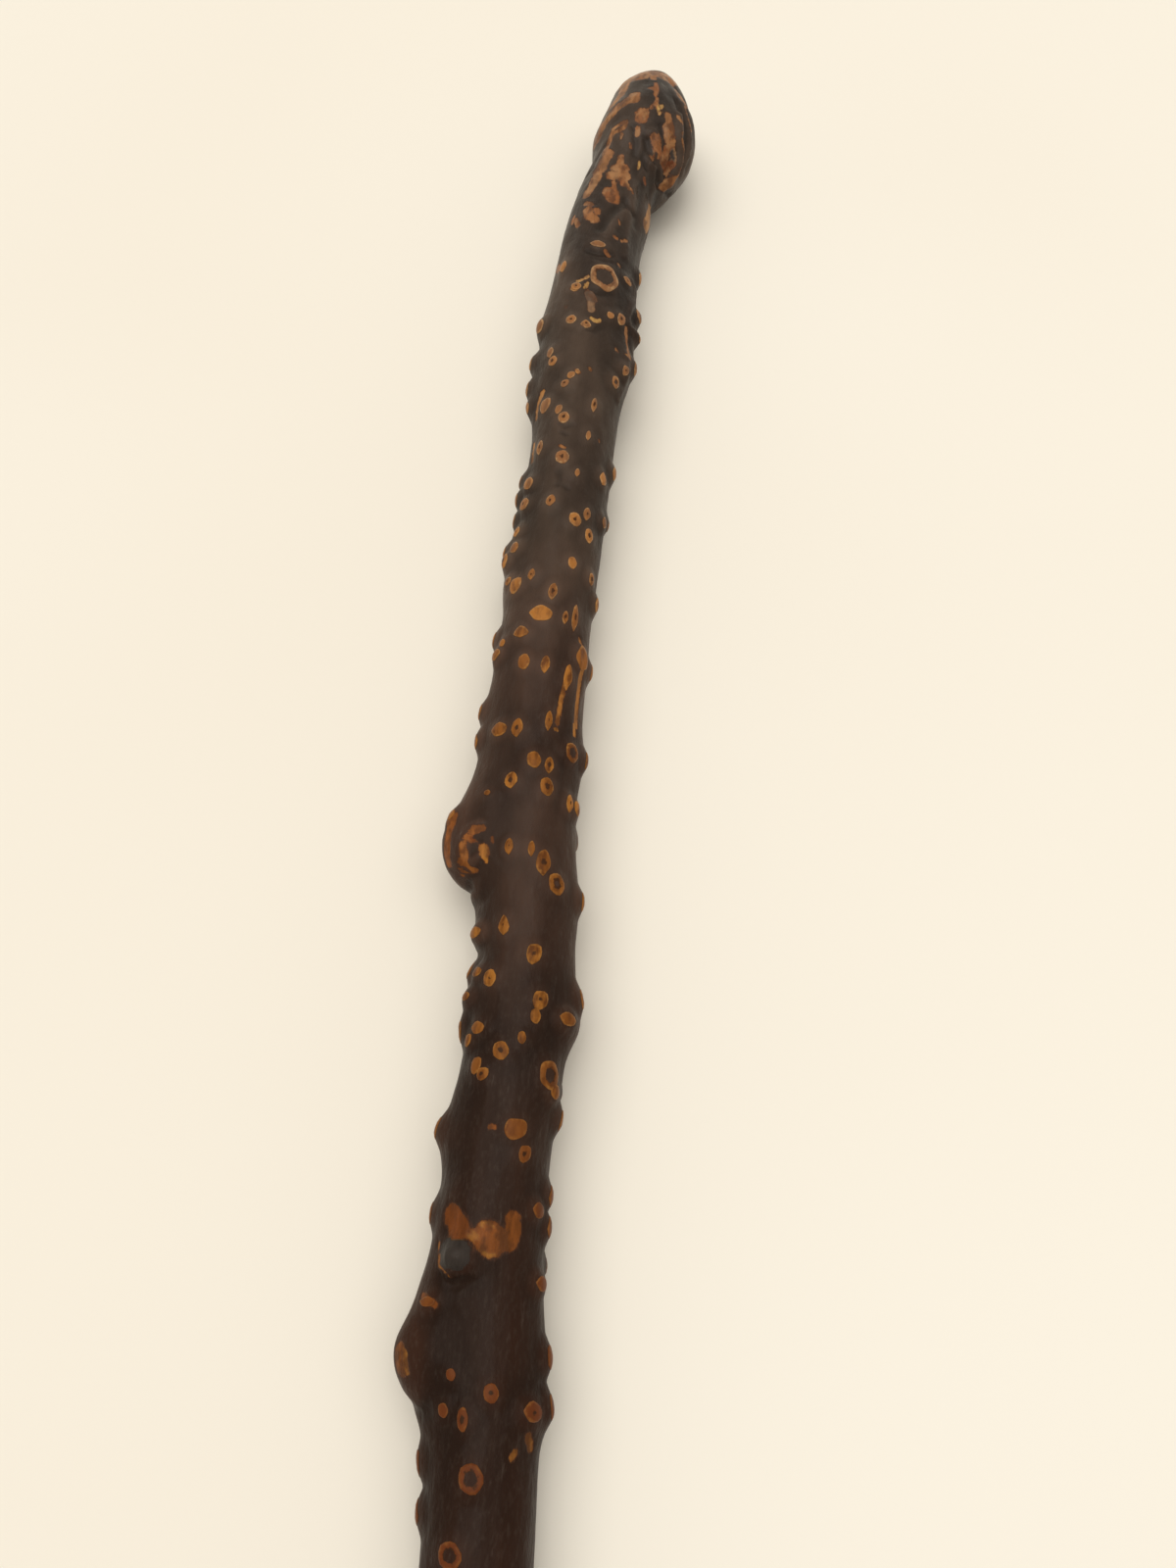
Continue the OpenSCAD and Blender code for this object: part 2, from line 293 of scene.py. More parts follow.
# %% Define the axis
# Stations of the axis in mm: distance from the crown, and how far left of the middle or above the table
SIDEWAYS = [
    (0, -13.8), (18, -12.6), (38, -9.3), (60, -2.3), (85, 1.4), (130, 4.0), (175, 5.6), (210, 7.2),
    (260, 9.4), (290, 9.4), (340, 7.2), (365, 8.2), (395, 9.6), (440, 7.7), (480, 6.5), (623, 1.2),
    (753, -1.8), (843, -2.8), (900, -2.8),
]
HEIGHTS = [(0, 17.5), (30, 17.5), (470, 14.1), (843, 10.5), (900, 10.5)]
AXIS_SOFTNESS = 6
AXIS_START, AXIS_STOP = -20.0, 921.0
BELL_REACH = 3
CROWN_X = cad_high.x / MM
FOOT = CROWN_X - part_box("bark")[0].x / MM


def soften(values, width):
    """Gaussian blur along the first axis of an array, with its ends held."""
    reach = int(BELL_REACH * width) + 1
    bell = np.exp(-0.5 * (np.arange(-reach, reach + 1) / width) ** 2)
    padded = np.pad(values, [(reach, reach)] + [(0, 0)] * (values.ndim - 1), mode="edge")
    return sum(k * padded[i:i + len(values)] for i, k in enumerate(bell / bell.sum()))


axis_places = np.arange(AXIS_START, AXIS_STOP)
axis_points = np.stack([CROWN_X - axis_places,
                        soften(np.interp(axis_places, *zip(*SIDEWAYS)), AXIS_SOFTNESS),
                        soften(np.interp(axis_places, *zip(*HEIGHTS)), AXIS_SOFTNESS)], axis=1)
axis_slopes = np.gradient(axis_points, axis=0)
print("bark runs from the crown to", round(FOOT, 1), "mm")

# %% Define places round the axis
PLACE_ROUNDS = 3


def unit(vectors):
    return vectors / np.linalg.norm(vectors, axis=-1, keepdims=True)


def on_axis(table, places):
    return np.stack([np.interp(places, axis_places, table[:, k]) for k in range(3)], axis=-1)


def directions(places):
    along = unit(on_axis(axis_slopes, places))
    across = unit(np.cross((0.0, 0.0, 1.0), along))
    return along, across, np.cross(along, across)


def outward(places, degrees):
    along, across, up = directions(places)
    turn = np.radians(degrees)[..., None]
    return np.cos(turn) * up + np.sin(turn) * across


def place_of(points):
    """Distance from the crown and angle of points in millimetres."""
    places = CROWN_X - points[..., 0]
    for _ in range(PLACE_ROUNDS):
        along = directions(places)[0]
        places = places + np.sum((points - on_axis(axis_points, places)) * along, axis=-1)
    along, across, up = directions(places)
    arm = points - on_axis(axis_points, places)
    return places, np.degrees(np.arctan2(np.sum(arm * across, -1), np.sum(arm * up, -1)))


print("at the foot of the bark the shaft runs along", directions(np.array(FOOT))[0].round(2))

# %% [markdown]
# ## Feeling the shape of the bark
#
# The bark has to be much finer than the construction model's skin of flat facets, yet keep its shape.
# So a net of places is laid over the stick, and at each one a ray is sent in from outside to find how
# far the bark stands from the axis. Over the crown the rays fan out from one centre, like the
# meridians of a globe, so the net closes in a pole. Where a ray drops into the socket of a stub there
# is no bark to find, and the gap is filled from the bark round it.

# %% Lay a net of places over the stick
BELLY = 30.0
RING_STEP = 0.65
FINE_TO, COARSE_STEP = 480, 1.75
SIDES = 96
CROWN_RADIUS = 17.5

crown_rings = round(math.pi / 2 * CROWN_RADIUS / RING_STEP)
shaft_places = np.concatenate([np.arange(BELLY, FINE_TO, RING_STEP),
                               np.linspace(FINE_TO, FOOT, round((FOOT - FINE_TO) / COARSE_STEP))])
shaft_rings = len(shaft_places)
ring_places = np.concatenate([np.full(crown_rings, BELLY), shaft_places])
ring_tilt = np.concatenate([np.linspace(0, math.pi / 2, crown_rings + 1)[:-1],
                            np.full(shaft_rings, math.pi / 2)])
side_degrees = np.arange(SIDES) * 360 / SIDES - 180
ring_count = len(ring_places)
net_places, net_degrees = np.meshgrid(ring_places, side_degrees, indexing="ij")
net_centres = on_axis(axis_points, net_places)
net_out = (np.sin(ring_tilt)[:, None, None] * outward(net_places, net_degrees)
           - np.cos(ring_tilt)[:, None, None] * directions(net_places)[0])
print("net:", ring_count, "rings of", SIDES, "places")

# %% Measure the bark with rays
RAY_START = 27.0
LEAST_RADIUS = 6.0
bark_tree = BVHTree.FromObject(frame["nodes"]["bark"], bpy.context.evaluated_depsgraph_get())
radius = np.full(net_places.shape, np.nan)
for i in range(ring_count):
    for j in range(SIDES):
        way = Vector(net_out[i, j])
        start = (Vector(net_centres[i, j]) + RAY_START * way) * MM
        hit = bark_tree.ray_cast(start, -way)
        if hit[0] is not None and RAY_START - hit[3] / MM > LEAST_RADIUS:
            radius[i, j] = RAY_START - hit[3] / MM
print("rays:", radius.size, " into sockets:", int(np.isnan(radius).sum()))

# %% Fill the sockets and round off the facets
FILL_REACH = 4.0
FACET_ROUNDING = 3.0
DEGREES_PER_SIDE = 360 / SIDES
DEGREES_PER_MM = 4.4


def smooth(net, reach):
    """Blur of a net by a reach in millimetres, along the stick and round it."""
    net = soften(net, reach / RING_STEP)
    sides = reach * DEGREES_PER_MM / DEGREES_PER_SIDE
    around = np.concatenate([net, net, net], axis=1)
    return soften(around.T, sides).T[:, SIDES:2 * SIDES]


known = ~np.isnan(radius)
filled = smooth(np.where(known, radius, 0), FILL_REACH) / smooth(known.astype(float), FILL_REACH)
radius = np.where(known, radius, filled)
once = smooth(radius, FACET_ROUNDING)
radius = 2 * once - smooth(once, FACET_ROUNDING)
print("radius from", round(radius[crown_rings:].min(), 1), "to", round(radius.max(), 1), "mm")

# %% [markdown]
# ## Finding the stubs
#
# Each trimmed thorn is a small peg in the construction model. Its looks need three facts: where it
# stands, how long it is along the shaft, and how wide it is across. All three can be read from the
# pegs themselves, one island of joined points at a time. What a face looks like they can't tell, so
# the stubs in front are listed, with the outline and the dark heart of each. The others take their
# sizes from the pegs, and dice with a fixed seed choose the rest.

# %% Measure every stub
STUB_FACE_DEPTH = 1.0
MERGE_DISTANCE = 1e-6


def islands(mesh):
    """The points of each separate solid of a mesh, in millimetres."""
    work = bmesh.new()
    work.from_mesh(mesh)
    bmesh.ops.remove_doubles(work, verts=work.verts, dist=MERGE_DISTANCE)
    waiting = set(work.verts)
    while waiting:
        found, edge = [], [waiting.pop()]
        while edge:
            vert = edge.pop()
            found.append(vert.co / MM)
            fresh = {e.other_vert(vert) for e in vert.link_edges} & waiting
            waiting -= fresh
            edge += fresh
        yield np.array(found)
    work.free()


def measure_stub(points):
    middle = points.mean(axis=0)
    place, degrees = place_of(middle)
    along = directions(place)[0]
    lift = outward(place, degrees)
    side = np.cross(lift, along)
    heights = points @ lift
    face = points[heights > heights.max() - STUB_FACE_DEPTH]
    u, v = face @ along, face @ side
    centre = (along * (u.max() + u.min()) + side * (v.max() + v.min())) / 2 + lift * heights.max()
    place, degrees = place_of(centre)
    return float(place), float(degrees), float(np.ptp(u)), float(np.ptp(v))


pegs = sorted(measure_stub(points) for points in islands(frame["nodes"]["thorn_stubs"].data))
print("pegs:", len(pegs), " longest:", round(max(peg[2] for peg in pegs), 1), "mm")

# %% List the stubs in front
# Each of these: distance, degrees, length, width, outline (0 disc, 1 leaf, 2 drop, 3 bean, 4 leaf
# across) and the share of the face that is a dark heart
FRONT = [
    (100, 2, 3, 5.2, 4, 0), (108, -41, 5, 2.8, 1, 0), (114.2, 16.5, 11, 10.2, 0, 0.58),
    (110, 50, 3, 4, 4, 0.2), (119.5, -17, 3.2, 3.4, 0, 0.2), (128.6, 45, 4.6, 4, 3, 0.3),
    (129.6, 30, 2.6, 3, 3, 0), (134, -17, 3.6, 3.6, 0, 0.18), (136, 2, 3.2, 3.2, 2, 0.25),
    (130, -66, 5, 5, 0, 0), (145.5, -41, 4, 2.6, 1, 0), (149.5, -36, 3.8, 3.4, 0, 0.32),
    (147.5, 60, 3.6, 3.2, 3, 0.25), (154, 51, 4.2, 3.3, 0, 0.45), (157, -9, 2.6, 3, 3, 0),
    (160, -16, 2.8, 3.2, 3, 0.2), (155.5, -1, 2, 1.4, 0, 0), (166.6, -42, 5.2, 5.2, 3, 0),
    (167, 25, 5.5, 1.9, 1, 0.3), (170, -20, 3.4, 2.8, 3, 0), (173.5, -11, 4.2, 3.6, 0, 0.32),
    (179, 23, 3.6, 1.6, 1, 0), (183, -41, 5.5, 2.4, 1, 0.18), (188.7, -6, 5, 4.3, 0, 0.22),
    (191, 54, 4.6, 3.2, 2, 0), (193.7, 15.5, 3, 1.5, 1, 0), (195.7, -51, 4.4, 4, 0, 0),
    (203, -54, 4.2, 4.2, 0, 0.15), (204.7, -13, 4, 3, 1, 0.22), (210.3, 21, 4.8, 3.9, 0, 0.25),
    (206.7, 36, 4.6, 2.5, 1, 0.22), (213.7, 43, 4.8, 3, 0, 0.3), (205, 68, 4, 3, 1, 0),
    (213, -57, 3.6, 2.8, 1, 0.15), (219, -55, 3.8, 3.4, 0, 0), (222, -69, 5, 4, 0, 0.3),
    (225.2, 25, 4, 2.7, 0, 0), (230.5, -24, 3.8, 2.2, 1, 0.2), (227, 57, 4, 2.3, 0, 0.4),
    (233, -46, 5, 5.2, 3, 0), (230.5, -58, 2.4, 3, 3, 0.2), (236.3, 5.5, 5.6, 2.6, 1, 0.32),
    (243.8, -5, 5.2, 6.6, 4, 0), (243.7, 25, 4.4, 1.8, 1, 0.32), (242.5, 38, 9, 2.1, 1, 0.2),
    (249.5, -27, 3.8, 4.6, 2, 0), (254, 54, 8, 4.8, 2, 0), (251.5, -53, 2.4, 2.4, 0, 0),
    (254.5, -62, 3.4, 4.6, 1, 0), (259.3, -18, 5, 3.5, 0, 0), (260, 8, 5.6, 2.5, 1, 0),
    (262.3, 36.5, 8, 2.5, 1, 0), (277, 18, 6, 2, 1, 0.15), (279.2, -41, 4.4, 5.1, 4, 0),
    (279.5, -18, 5.6, 3.3, 1, 0.22), (284.2, 51.5, 5.6, 4.7, 0, 0.5), (289, 4.5, 4.8, 3.8, 0, 0),
    (290, 22.5, 4.8, 2.6, 1, 0.35), (294.8, -20, 4.8, 3.5, 1, 0.3), (296.3, 21, 5.2, 3.7, 0, 0.3),
    (299, 53.5, 5.2, 2.8, 1, 0.2), (299, 70, 4, 4, 0, 0), (297.6, -45, 1.6, 1.6, 0, 0),
    (302, -73, 3, 3, 0, 0), (313.2, -19, 4.4, 2.2, 1, 0.18), (313.9, 6, 4.2, 1.8, 1, 0),
    (317.3, 20, 7, 3.9, 1, 0.25), (322.4, 37, 5.8, 4.8, 0, 0.45), (333.7, -22, 5.2, 2.8, 2, 0.15),
    (334, -64, 3, 5.6, 4, 0), (340.9, 13, 5, 4.6, 3, 0.2), (345, -56, 2.6, 4, 4, 0),
    (347.2, -34, 4.4, 3.8, 0, 0.2), (351, -66, 2.4, 3.6, 4, 0), (351.8, 25, 4.6, 4.8, 3, 0.2),
    (355.8, 23, 3.6, 2.6, 0, 0), (354.8, 58, 3.4, 4.8, 4, 0), (359.3, -42, 3.2, 4.4, 4, 0),
    (362, -56, 3, 3.4, 3, 0), (361.3, 11.5, 3, 2, 0, 0), (364.8, -9, 4.4, 4, 0, 0.25),
    (368.3, -37, 4, 3.6, 3, 0), (370.3, -27, 3, 3.8, 3, 0.2), (368.6, 47, 6.6, 6, 0, 0.46),
    (372, 57, 3.4, 3.4, 0, 0), (381.9, 15.5, 4.6, 6.6, 3, 0), (387, 29.5, 3.8, 3.8, 3, 0.25),
    (399, 56, 3.6, 4.2, 4, 0), (414.3, 66, 3.4, 5, 4, 0), (418.3, -56, 2.2, 4, 4, 0),
    (432.3, -31, 2.4, 2, 0, 0), (435.6, 9.5, 3.8, 3.3, 0, 0.25), (439, -38, 2.8, 2.4, 0, 0),
    (440.5, -17, 4.6, 2.4, 0, 0.35), (439, 54, 4.2, 5.2, 4, 0.15), (451, -5.5, 5.6, 5.4, 0, 0.5),
    (464.3, -22, 5, 5.4, 0, 0.5),
]
print("listed stubs:", len(FRONT))

# %% List the pegs without a face
# Places of pegs that show as worn bark or as another form instead of a face: distance, degrees
NO_FACE = [
    (161, -54), (180, -62), (310, -58), (314, -45), (311, -92), (301, -84), (406, -28), (405, 10),
    (404, 28), (406, 12), (445, 57), (447, 37), (429, -78), (118, -13), (369, 52),
]
print("pegs without a face:", len(NO_FACE))

# %% Add the stubs that are not listed
SEED = 7
SAME_PLACE, SAME_TURN = 5, 24
UNLISTED_KINDS = 4
UNLISTED_HEARTS = (0, 0, 0.15, 0.22, 0.3)


def turn_between(first, second):
    return (first - second + 180) % 360 - 180


def is_listed(place, degrees):
    return any(abs(place - listed[0]) < SAME_PLACE and abs(turn_between(degrees, listed[1])) < SAME_TURN
               for listed in FRONT + NO_FACE)


dice = random.Random(SEED)
stubs = list(FRONT)
for place, degrees, length, width in pegs:
    if not is_listed(place, degrees):
        kind = dice.randrange(UNLISTED_KINDS)
        stubs.append((place, degrees, length, width, kind, dice.choice(UNLISTED_HEARTS)))
print("stub faces:", len(stubs), " of them listed:", len(FRONT))

# %% [markdown]
# ## Shaping the bark
#
# Bark grows over the root of every thorn, so each stub sits on a low mound, and between the mounds
# the shaft is a little slimmer. The knob was the root of the young tree: its right side is folded
# like an ear, and creases run down into the neck. Both are height changes on the net. A mound is a
# soft bell round a stub, and a crease is a line of places with a width and a height, raised or sunk.

# %% Raise a mound under every stub
SLIMMER = 0.15
LEAN = 0.1
SLIM_FROM, SLIM_TO = 80, 120
MOUND_MARGIN = 3.2
MOUND_FLAT = 0.15
MOUND_BASE, MOUND_PER_SIZE, MOUND_MOST = 0.5, 0.2, 1.5
MOUND_IN_FRONT = 0.4
FRONT_ENDS, SIDE_STARTS = 35, 75


def ramp(values, low, high):
    t = np.clip((values - low) / (high - low), 0, 1)
    return t * t * (3 - 2 * t)


shaft_radius = radius.copy()
radius -= ramp(net_places, SLIM_FROM, SLIM_TO) * (SLIMMER - LEAN * np.sin(np.radians(net_degrees)))
mounds = np.zeros_like(radius)
for place, degrees, length, width, *face in stubs:
    rise = min(MOUND_MOST, MOUND_BASE + MOUND_PER_SIZE * (length + width) / 2)
    rise *= MOUND_IN_FRONT + (1 - MOUND_IN_FRONT) * ramp(abs(degrees), FRONT_ENDS, SIDE_STARTS)
    reach = length / 2 + MOUND_MARGIN
    rows = np.flatnonzero(np.abs(ring_places - place) < reach)
    u = (net_places[rows] - place) / reach
    half_width = width / 2 + MOUND_MARGIN
    v = np.radians(turn_between(net_degrees[rows], degrees)) * shaft_radius[rows] / half_width
    mounds[rows] = np.maximum(mounds[rows], rise * (1 - ramp(np.hypot(u, v), MOUND_FLAT, 1)))
radius += mounds
print("mounds rise up to", round(mounds.max(), 2), "mm")

# %% Swell the burls and lean the crown
# Each swelling: distance, degrees, rise (below 0 it is a dip), half length, half width in degrees
SWELLINGS = [
    (-2, 0, 7.0, 8, 400), (26, -80, -1.2, 10, 55), (6, 80, -0.6, 9, 60), (34, 85, 0.8, 10, 45),
    (11, -75, 1.4, 7, 50), (60, 85, -1.3, 9, 50), (50, -85, -1.2, 9, 50), (128, -85, 1.0, 5, 35),
    (143, -85, 1.2, 5, 35), (309, -84, 3.4, 10, 26), (320, -88, 1.4, 8, 30), (334, -85, 1.1, 5, 32),
    (340, -85, -1.8, 3.5, 35), (353, -85, 1.4, 5, 35), (384, -85, 1.4, 5, 35), (414, -85, 1.2, 6, 35),
    (429, -82, 3.2, 8, 26), (355, 85, 2.2, 6, 35), (441, 85, 1.2, 4, 35), (409.4, -29, 3.0, 3.6, 14),
    (402, -40, -0.9, 3, 10), (414.6, -29, -0.8, 2, 16),
]


def down_from_crown():
    """Distance from the crown of every net point, measured along the axis also over the crown."""
    return net_places - radius * np.cos(ring_tilt)[:, None]


below = down_from_crown()
for place, degrees, rise, half_length, half_width in SWELLINGS:
    reach = ((below - place) / half_length) ** 2 + (turn_between(net_degrees, degrees) / half_width) ** 2
    radius += rise * np.exp(-reach)
print("swellings:", len(SWELLINGS))

# %% List the folds and creases
# Each crease: its height (below 0 it is a groove), its half width, and its places down the stick
CREASES = [
    (1.4, 1.2, [(30.5, 44), (34.5, 49), (38.5, 54), (40.6, 65), (44.1, 75), (47.3, 80), (50.4, 86)]),
    (-1.8, 1.9, [(42.5, 54), (44.5, 60), (46.6, 66), (48.8, 70)]),
    (-1.0, 1.2, [(24.2, 38), (28.5, 46), (32.2, 56), (37, 64), (41, 73), (43.4, 80)]),
    (0.9, 1.2, [(23, 46), (28, 55), (31.5, 64), (36, 71), (41, 78)]),
    (-0.8, 1.1, [(22, 55), (25, 66), (29, 73), (34.8, 79), (39.6, 84)]),
    (-1.0, 1.8, [(11.6, 27), (13.2, 33), (14.6, 46), (15, 62), (14, 80)]),
    (-1.3, 1.4, [(52, 58), (53.5, 68), (52, 80), (50, 92), (47, 104)]),
    (0.9, 1.1, [(44.3, 20), (42.3, 22), (43, 30), (43.9, 38)]),
    (-1.1, 1.1, [(39, 30), (41.7, 37), (45, 45), (48.2, 56)]),
    (-0.8, 0.9, [(46.2, 23), (49.6, 33), (50.9, 44)]),
    (0.8, 1.0, [(52.1, 44), (52.1, 52), (53.2, 59)]),
    (-0.7, 1.0, [(45.1, 17), (48.5, 25), (52.8, 29), (55.3, 41)]),
    (-0.7, 1.2, [(42.9, -1), (48.7, 11), (53.4, 17)]), (0.6, 1.3, [(51.5, 68), (57, 71), (62.4, 79)]),
    (-0.7, 1.1, [(74.2, 26), (77.5, 37), (78.4, 44)]),
    (-0.6, 1.2, [(60.5, -55), (59.5, -44), (54.2, -47), (49.3, -31)]),
    (-0.5, 1.6, [(62, 44), (72, 50), (82, 52)]),
    (0.6, 1.3, [(56, 40), (66, 34), (76, 36), (88, 40), (100, 43)]),
    (-0.8, 1.6, [(76, 24), (84, 10), (92, 2)]), (0.8, 1.4, [(80, 30), (88, 18), (95, 10)]),
    (0.9, 1.5, [(107, 60), (109, 70), (114, 68), (119, 61), (125, 57), (128, 62), (129, 82)]),
    (-1.0, 1.8, [(112, 80), (118, 72), (124, 70), (125, 84)]),
    (-0.6, 1.5, [(134, 66), (138, 74), (139, 88)]),
    (0.7, 1.2, [(141, 62), (146, 68), (152, 70), (158, 66)]),
    (-0.8, 1.3, [(103, -8), (104, 4), (103, 20)]), (-0.35, 0.9, [(106, -2), (107, 12), (106, 24)]),
    (-0.6, 1.2, [(121, 2), (122, 14), (120, 26)]), (-0.5, 1.0, [(138, 4), (138, 12), (136, 18)]),
    (-0.5, 0.9, [(175.5, -15), (177, -8), (176, -2)]), (-0.4, 0.8, [(179, -12), (180, -6)]),
    (-0.4, 0.9, [(194, -8), (197, -5), (199, -8)]), (-0.35, 0.8, [(199, 0), (200, 6)]),
    (-1.5, 1.8, [(321, -104), (321.5, -88), (321, -74)]),
    (-0.7, 1.5, [(320, -76), (319, -62), (317, -50)]),
    (-0.5, 1.3, [(325, -84), (326, -66), (325, -52)]),
    (-0.5, 1.0, [(413, -46), (415, -36), (414, -22)]),
    (0.9, 1.2, [(306, -47), (307, -53), (310, -60), (314, -64), (317, -67)]),
    (-0.7, 1.2, [(311, -51), (314, -56)]), (0.5, 0.9, [(316, -62), (317, -55), (315, -50)]),
    (-0.7, 1.6, [(438, -84), (440, -70), (439, -58)]),
]
print("creases:", len(CREASES))

# %% Trace lines over the bark
TRACE_STEPS = 20
SEARCH_MARGIN = 8
JUST_SHORT = 1.001


def surface_points():
    return net_centres + radius[..., None] * net_out


def sample(net, rings, degrees):
    """Values of a net between its points, round the stick without a seam."""
    sides = (np.asarray(degrees) + 180) / DEGREES_PER_SIDE
    rings = np.clip(rings, 0, ring_count - JUST_SHORT)
    i, j = np.floor(rings).astype(int), np.floor(sides).astype(int)
    u, v = rings - i, sides - j
    near, far = j % SIDES, (j + 1) % SIDES
    if net.ndim == 3:
        u, v = u[..., None], v[..., None]
    return ((net[i, near] * (1 - v) + net[i, far] * v) * (1 - u)
            + (net[i + 1, near] * (1 - v) + net[i + 1, far] * v) * u)


def trace(places):
    """A line over the bark through places given as distance and degrees, as points in millimetres."""
    knots = np.array(places, float)
    where = np.linspace(0, len(knots) - 1, max(1, (len(knots) - 1) * TRACE_STEPS) + 1)
    distance, degrees = (np.interp(where, np.arange(len(knots)), knots[:, k]) for k in (0, 1))
    columns = np.round((degrees + 180) / DEGREES_PER_SIDE).astype(int) % SIDES
    rings = np.array([np.interp(d, below[:, c], np.arange(ring_count))
                      for d, c in zip(distance, columns)])
    return sample(skin, rings, degrees), distance


def distance_to(places, reach):
    """Rows of the net near a traced line, and the distance of their points from it."""
    line, distance = trace(places)
    margin = 2 * reach + SEARCH_MARGIN
    lowest, highest = distance.min() - margin, distance.max() + margin
    rows = np.flatnonzero((below.max(axis=1) > lowest) & (below.min(axis=1) < highest))
    nearest = np.full(skin[rows].shape[:2], np.inf)
    for point in line:
        nearest = np.minimum(nearest, np.linalg.norm(skin[rows] - point, axis=-1))
    return rows, nearest


skin, below = surface_points(), down_from_crown()
print("the first crease is traced by", len(trace(CREASES[0][2])[0]), "points")

# %% Fold and crease the bark
folds = np.zeros_like(radius)
for height, half_width, places in CREASES:
    rows, away = distance_to(places, half_width)
    folds[rows] += height * np.exp(-(away / half_width) ** 2)
radius += folds
print("folds from", folds.min().round(2), "to", folds.max().round(2), "mm")

# %% [markdown]
# ## Where the bark is worn through
#
# Years of handling have polished the bark off the high places of the knob, and long scars run down
# from some of the stubs. Painting this by hand would take an image, so it is written down instead as
# strokes: a half width, a tint, and a line of places. How far inside or outside the nearest stroke a
# place lies is kept on the mesh as an attribute. The material adds noise to it before it cuts the
# edge, and that is what makes the edges ragged. The tint runs from -1, pale chipped wood, over 0,
# orange, and 1, deep red, to 1.4, a grey smear, 1.7, a dark hollow, and 2, a smooth grey knot.
# A few thin strokes are no wear but painted highlights: glossy lines along the ear's ridges, and pale arcs
# by a dark hollow of the ear and by the grey knot.

# %% List the worn places of the crown, the knob and the neck
KNOB_WORN = [
    (4.0, 0.1, [(2, 0)]), (4.8, 0.15, [(13, -42), (13, -28), (12.6, -17)]),
    (4.2, 0.25, [(10.4, -9), (10.4, 4), (10.6, 16)]), (2.8, 0.1, [(9, 16), (8.4, 28)]),
    (0.5, 1.7, [(15, -21), (15.3, -20)]), (1.3, 0.1, [(11.7, -3), (16.1, 2)]),
    (0.8, 0.5, [(19.5, 7), (24.1, 11), (27, 11)]),
    (0.6, 0.5, [(27, 11), (29, 15), (31.8, 14), (34.6, 11)]), (1.0, 0.5, [(23.4, 3), (24, 8)]),
    (2.2, 0.0, [(19.2, -36), (24.8, -34), (28.1, -39), (29.8, -43)]),
    (2.0, 0.0, [(31, -16), (32.7, -23), (34.4, -31), (36.9, -37), (38.6, -46), (41.1, -52),
                (41.7, -62)]),
    (2.0, 0.1, [(28.3, -13), (31.2, -11)]), (2.4, 0.3, [(39.1, -52), (42.1, -56), (41.7, -70)]),
    (2.4, 0.4, [(37.1, 4), (39.5, 5)]), (1.0, 0.3, [(43.5, 6), (45.8, 8)]),
    (0.9, 0.0, [(41.7, -11), (44.4, -11), (45.7, -18), (46.3, -26)]),
    (0.9, 0.1, [(41.6, -12), (43, -19), (43.9, -26), (46, -27)]),
    (1.2, 0.0, [(46.5, -27), (49, -28), (51.8, -29), (54.4, -28)]),
    (0.6, 0.2, [(46.9, -11), (48.8, -10)]), (0.5, 0.3, [(49.8, 5), (51.5, 8)]),
    (2.2, 0.0, [(55, -21), (59.2, -23), (63.5, -24)]),
    (1.8, 0.0, [(65.5, -24), (70.7, -27), (74.5, -31)]), (1.2, 0.2, [(56, 0), (59.6, 4)]),
    (2.0, 0.25, [(61.3, 0), (60.5, 11)]), (2.0, 0.25, [(65.3, -3), (63.7, 17)]),
    (1.4, 0.55, [(65.1, 16), (67.7, 17)]), (0.9, 0.4, [(68.5, 4), (70.8, 7)]),
    (2.7, 0.45, [(73.4, 3), (76, 8)]), (0.7, 0.9, [(58.8, 44), (59.6, 50)]),
    (0.7, 0.3, [(67, 23), (69, 26)]), (0.4, 0.3, [(68.5, 30), (70.4, 34)]),
]
print("strokes on the crown, the knob and the neck:", len(KNOB_WORN))

# %% List the worn places and the painted highlights of the ear
EAR_WEAR_AND_HIGHLIGHTS = [
    (1.4, 0.0, [(34.2, 31), (35.8, 34), (38.1, 38)]), (2.1, 0.3, [(38.1, 38), (40, 42), (41.7, 48)]),
    (1.9, 0.8, [(42.6, 50), (44, 51), (46.2, 54), (47.9, 59)]), (1.3, 1.0, [(44.6, 66), (47.8, 67)]),
    (1.2, 1.7, [(42.2, 57), (43.7, 63)]), (1.7, 0.3, [(44.3, 29), (45.8, 34), (46.8, 39)]),
    (1.2, 0.6, [(46.9, 42), (47.6, 49), (48.3, 53)]), (0.9, 1.7, [(48.3, 33), (49, 36)]),
    # A painted highlight: a thin pale glint arc beside the small dark hollow
    (0.4, -0.1, [(50.1, 35), (50.4, 40), (48.9, 45)]),
    (0.65, -0.9, [(31.3, 23), (33.3, 20), (35.5, 22)]),
    (0.5, -0.8, [(54.3, 27), (56, 29), (57.4, 29)]), (2.2, 0.15, [(17.4, 39), (19, 45), (20.5, 49)]),
    (0.7, 0.1, [(18, 37), (20.4, 39)]), (0.6, 0.4, [(32, 41), (33.2, 45)]),
    (1.7, 0.1, [(51, 80), (49.4, 80), (47.5, 80)]), (0.8, 0.2, [(50.2, 89), (51.4, 83)]),
    (2.4, -0.3, [(66, 79), (71, 76), (76, 73)]),
    # These last two thin strokes are painted highlights along the ridges of the ear's folds
    (0.45, 0.0, [(32, 47), (38.5, 54), (40.6, 65), (44.1, 75), (47.3, 80), (50.4, 86)]),
    (0.4, 0.1, [(23.5, 48), (28, 55), (31.5, 64)]),
]
print("strokes on the ear:", len(EAR_WEAR_AND_HIGHLIGHTS))

